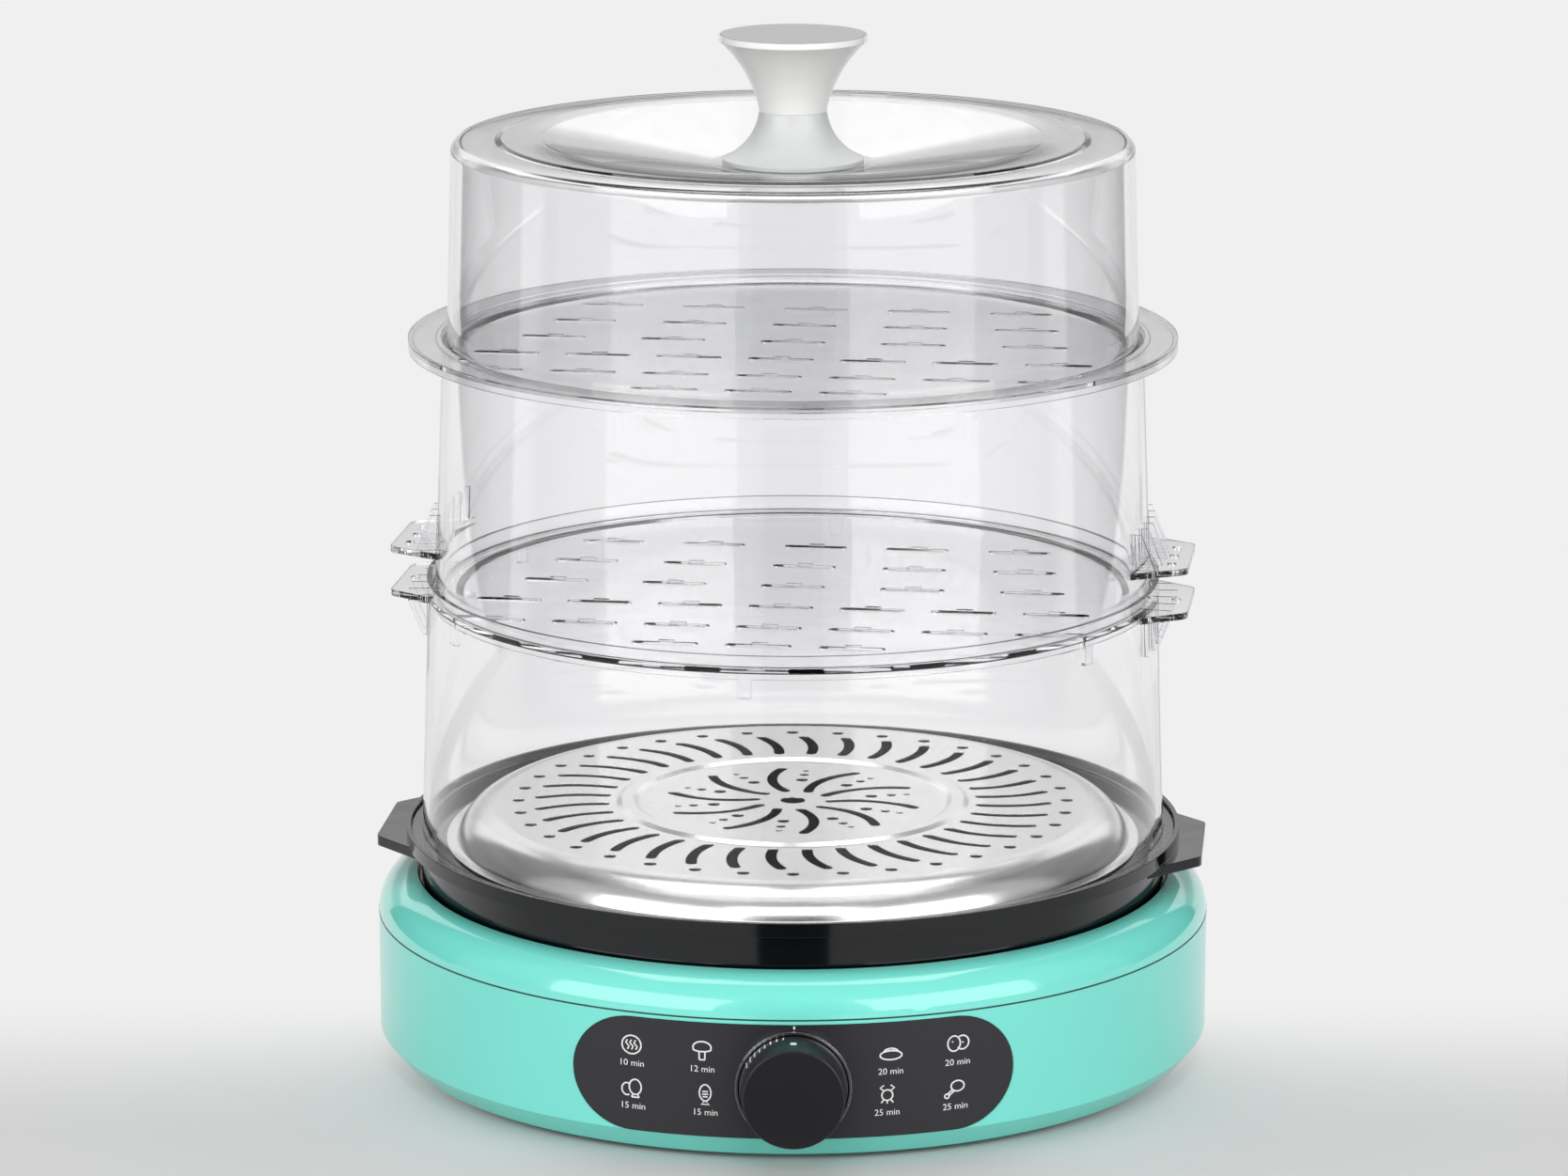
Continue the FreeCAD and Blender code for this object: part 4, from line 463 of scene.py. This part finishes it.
print("panel print:", len(LAYOUT), "pictures,", len(faces), "faces")

# %% [markdown]
# ## Marks on the knob
# The knob's side is a shallow cone. A row of dashes runs from ten to twelve o'clock on its rear part, and a
# square marks where it points.

# %% Dashes on the knob
KNOB_UP, KNOB_REAR, KNOB_FRONT = 30.5, 160.4, 176.9
REAR_RADIUS, FACE_RADIUS = 19.9, 18.7


def on_knob(clock, out):
    """A point on the knob's side, at an angle clockwise from twelve and so far out from the panel."""
    radius = REAR_RADIUS + (FACE_RADIUS - REAR_RADIUS) * out / (KNOB_FRONT - KNOB_REAR) + PRINT_LIFT
    turn = math.radians(clock)
    return Vector((radius * math.sin(turn), -(KNOB_REAR + out), KNOB_UP + radius * math.cos(turn))) / 1000


corners, faces = [], []
for middle, half, near, far in [(-4 - 7 * i, 0.9, 2.6, 4.4 + 0.5 * i) for i in range(1, 9)] + [(0, 3.2, 8.6, 11.0)]:
    for step in range(4):
        low = middle - half + half * step / 2
        first = len(corners)
        corners += [on_knob(low, near), on_knob(low + half / 2, near), on_knob(low + half / 2, far), on_knob(low, far)]
        faces.append((first, first + 1, first + 2, first + 3))
knob_marks = piece("knob_marks", corners, faces, "print", "knob")
print("knob marks:", len(faces), "faces")

# %% [markdown]
# ## The seam round the base
# Where the shoulder meets the wall a narrow groove runs round the base, and shade lies in it. A thin band of painted
# shade, mint darkened, stands for that shaded groove.

# %% A band of painted shade round the seam
SEAM_UP, SEAM_HALF, SEAM_LIFT, BASE_RADIUS = 55.3, 0.32, 0.03, 160.0
steps = 256
ring = [(math.sin(2 * math.pi * i / steps), -math.cos(2 * math.pi * i / steps)) for i in range(steps)]
reach = BASE_RADIUS + SEAM_LIFT
corners = [Vector((x * reach, y * reach, SEAM_UP + side * SEAM_HALF)) / 1000 for side in (-1, 1) for x, y in ring]
faces = [(i, (i + 1) % steps, steps + (i + 1) % steps, steps + i) for i in range(steps)]
# Painted shade: a thin dark band laid over the groove where the shoulder meets the wall.
seam_shade = piece("base_seam", corners, faces, "seam_shade", "base")
print("seam at", SEAM_UP, "mm")

# %% [markdown]
# ## Studio
# The floor is plain and pale and curves up behind the object. Behind the object it is not lit but glows in its own
# colour for what the camera,
# the metal and the clear plastic see: painted backdrop light. Above the picture that glow is painted greyer and then
# paler again, a painted shade band and a painted light band that the racks and the lid's top mirror.


# %% Floor and backdrop
def seen_directly(recipe):
    """One for what the camera sees straight, in metal or through plastic, and nothing for the light that it sheds."""
    names = ("Is Camera Ray", "Is Glossy Ray", "Is Transmission Ray")
    rays = [recipe.add("ShaderNodeLightPath", name) for name in names]
    return (rays[0] + rays[1] + rays[2]).above(0.5)


def floor_finish():
    recipe = Recipe("studio floor")
    slow = recipe.noise(0.6, 1)
    _, back, up = recipe.spread()

    def ramp(value, start, stop, low, high):
        bounds = {"Value": value, "From Min": start, "From Max": stop, "To Min": low, "To Max": high}
        return recipe.add("ShaderNodeMapRange", 0, bounds, interpolation_type="SMOOTHSTEP")

    # Painted backdrop light: towards the back the floor glows instead of being lit, so no shadow falls there.
    fade = ramp(back, -0.13, 0.06, 0.0, 1.0)
    # Painted shade and light on the backdrop: its glow is dimmed above the picture and raised higher up, for the
    # reflections in the racks, the plate and the lid.
    strength = ramp(up, 0.3, 0.9, 1.0, 0.55) * ramp(up, 1.5, 1.8, 1.0, 2.3)
    lit = recipe.add("ShaderNodeBsdfPrincipled", 0, {
        "Base Color": recipe.between(colour(200, 200, 200), colour(203, 203, 203), slow),
        "Roughness": 0.75,
        "Specular IOR Level": 0.2,
    })
    # Painted backdrop light: a glow in the floor's pale colour that is seen but sheds no light.
    painted_backdrop_light = recipe.add("ShaderNodeEmission", 0, {"Color": colour(240, 240, 240), "Strength": strength})
    return recipe.done(recipe.add("ShaderNodeMixShader", 0, {0: fade * seen_directly(recipe), 1: lit, 2: painted_backdrop_light}))


finishes["floor"] = floor_finish()
profile = [(-6.0, 0.0), (4.0, 0.0)] + [(4.0 + 2 * math.sin(a * math.pi / 24), 2 - 2 * math.cos(a * math.pi / 24))
                                      for a in range(1, 13)] + [(6.0, 6.0)]
mesh = bpy.data.meshes.new("floor")
mesh.from_pydata([(side * 7, back, up) for side in (-1, 1) for back, up in profile], [],
                 [(i, len(profile) + i, len(profile) + i + 1, i + 1) for i in range(len(profile) - 1)])
mesh.polygons.foreach_set("use_smooth", [True] * len(mesh.polygons))
mesh.materials.append(finishes["floor"])
floor = bpy.data.objects.new("floor", mesh)
bpy.context.scene.collection.objects.link(floor)

world = bpy.data.worlds.new("studio air")
bpy.context.scene.world = world
world.use_nodes = True
tree = world.node_tree
tree.nodes.clear()
air = tree.nodes.new("ShaderNodeBackground")
air.inputs["Color"].default_value = (0.96, 0.97, 1.0, 1.0)
air.inputs["Strength"].default_value = 0.36
end = tree.nodes.new("ShaderNodeOutputWorld")
tree.links.new(air.outputs[0], end.inputs["Surface"])
print("floor", [round(x, 1) for x in floor.dimensions])


# %% [markdown]
# ## Light
# Two tall softboxes stand left and right of the camera with a gap between them, which shows as a darker upright
# band in every round wall: a dark board closes the gap and a dark strip lies on the floor in front of it. A third
# softbox above the camera only fills the shade and shows in no reflection. A fourth hangs overhead, and boards at
# the sides draw the edges of the clear parts. The strip shows in reflections only, so the floor below it stays lit.

# %% Softboxes and boards
def softbox(name, azimuth, distance, height, size, power, aim=(0, 0, 0.2)):
    """A soft light on a circle round the object. The azimuth counts from the camera's side, to the right."""
    lamp = bpy.data.lights.new(name, "AREA")
    lamp.shape, lamp.size, lamp.size_y, lamp.energy = "RECTANGLE", size[0], size[1], power
    lamp.color = (1.0, 0.995, 0.985)
    holder = bpy.data.objects.new(name, lamp)
    turn = math.radians(azimuth)
    holder.location = (distance * math.sin(turn), -distance * math.cos(turn), height)
    holder.rotation_euler = (Vector(aim) - holder.location).to_track_quat("-Z", "Y").to_euler()
    holder.visible_camera = False
    bpy.context.scene.collection.objects.link(holder)
    return holder


softbox("left softbox", -44, 2.3, 0.92, (2.1, 1.5), 30)
softbox("right softbox", 44, 2.3, 0.92, (2.1, 1.5), 30)
softbox("front softbox", 0, 2.0, 1.75, (1.5, 0.7), 14, (0, 0, 0.25)).visible_glossy = False
softbox("top softbox", 180, 0.5, 2.6, (2.2, 1.6), 30, (0, 0, 0))

board_recipe = Recipe("dark board")
finishes["board"] = board_recipe.done(board_recipe.add("ShaderNodeBsdfPrincipled", 0, {
    "Base Color": board_recipe.between(colour(40, 40, 42), colour(44, 44, 46), board_recipe.noise(2)),
    "Roughness": 0.9}))
BOARDS = {
    "left board": [(-0.95, 0.1, 0), (-1.15, 1.5, 0), (-1.15, 1.5, 1.5), (-0.95, 0.1, 1.5)],
    "right board": [(0.95, 0.1, 0), (1.15, 1.5, 0), (1.15, 1.5, 1.5), (0.95, 0.1, 1.5)],
    "gap board": [(-0.62, -2.6, 0), (0.62, -2.6, 0), (0.62, -2.6, 2.7), (-0.62, -2.6, 2.7)],
    "floor strip": [(-0.03, -0.2, 0.001), (0.03, -0.2, 0.001), (0.36, -2.3, 0.001), (-0.36, -2.3, 0.001)],
}
for name, outline in BOARDS.items():
    mesh = bpy.data.meshes.new(name)
    mesh.from_pydata(outline, [], [(0, 1, 2, 3)])
    mesh.materials.append(finishes["board"])
    board = bpy.data.objects.new(name, mesh)
    board.visible_camera = False
    if name == "floor strip":
        board.visible_shadow = board.visible_diffuse = board.visible_transmission = False
    bpy.context.scene.collection.objects.link(board)
print("four softboxes,", len(BOARDS), "boards")

# %% [markdown]
# ## Camera
# The camera stands a good two metres back with a long lens and looks down on the lid a little.

# %% The photographer's place
lens = bpy.data.cameras.new("camera")
lens.sensor_width, lens.lens, lens.clip_start = 36, 142.18, 0.1
camera = bpy.data.objects.new("camera", lens)
camera.location = (-0.0034, -2.312, 0.7115)
camera.rotation_euler = (math.radians(90 - 12.96), 0, 0)
bpy.context.scene.collection.objects.link(camera)
scene = bpy.context.scene
scene.camera = camera
scene.view_settings.view_transform = "Standard"
scene.cycles.max_bounces = 24
scene.cycles.transmission_bounces = 20
scene.cycles.transparent_max_bounces = 24
scene.cycles.caustics_reflective = False
scene.cycles.caustics_refractive = False
print("camera", [round(x, 3) for x in camera.location])
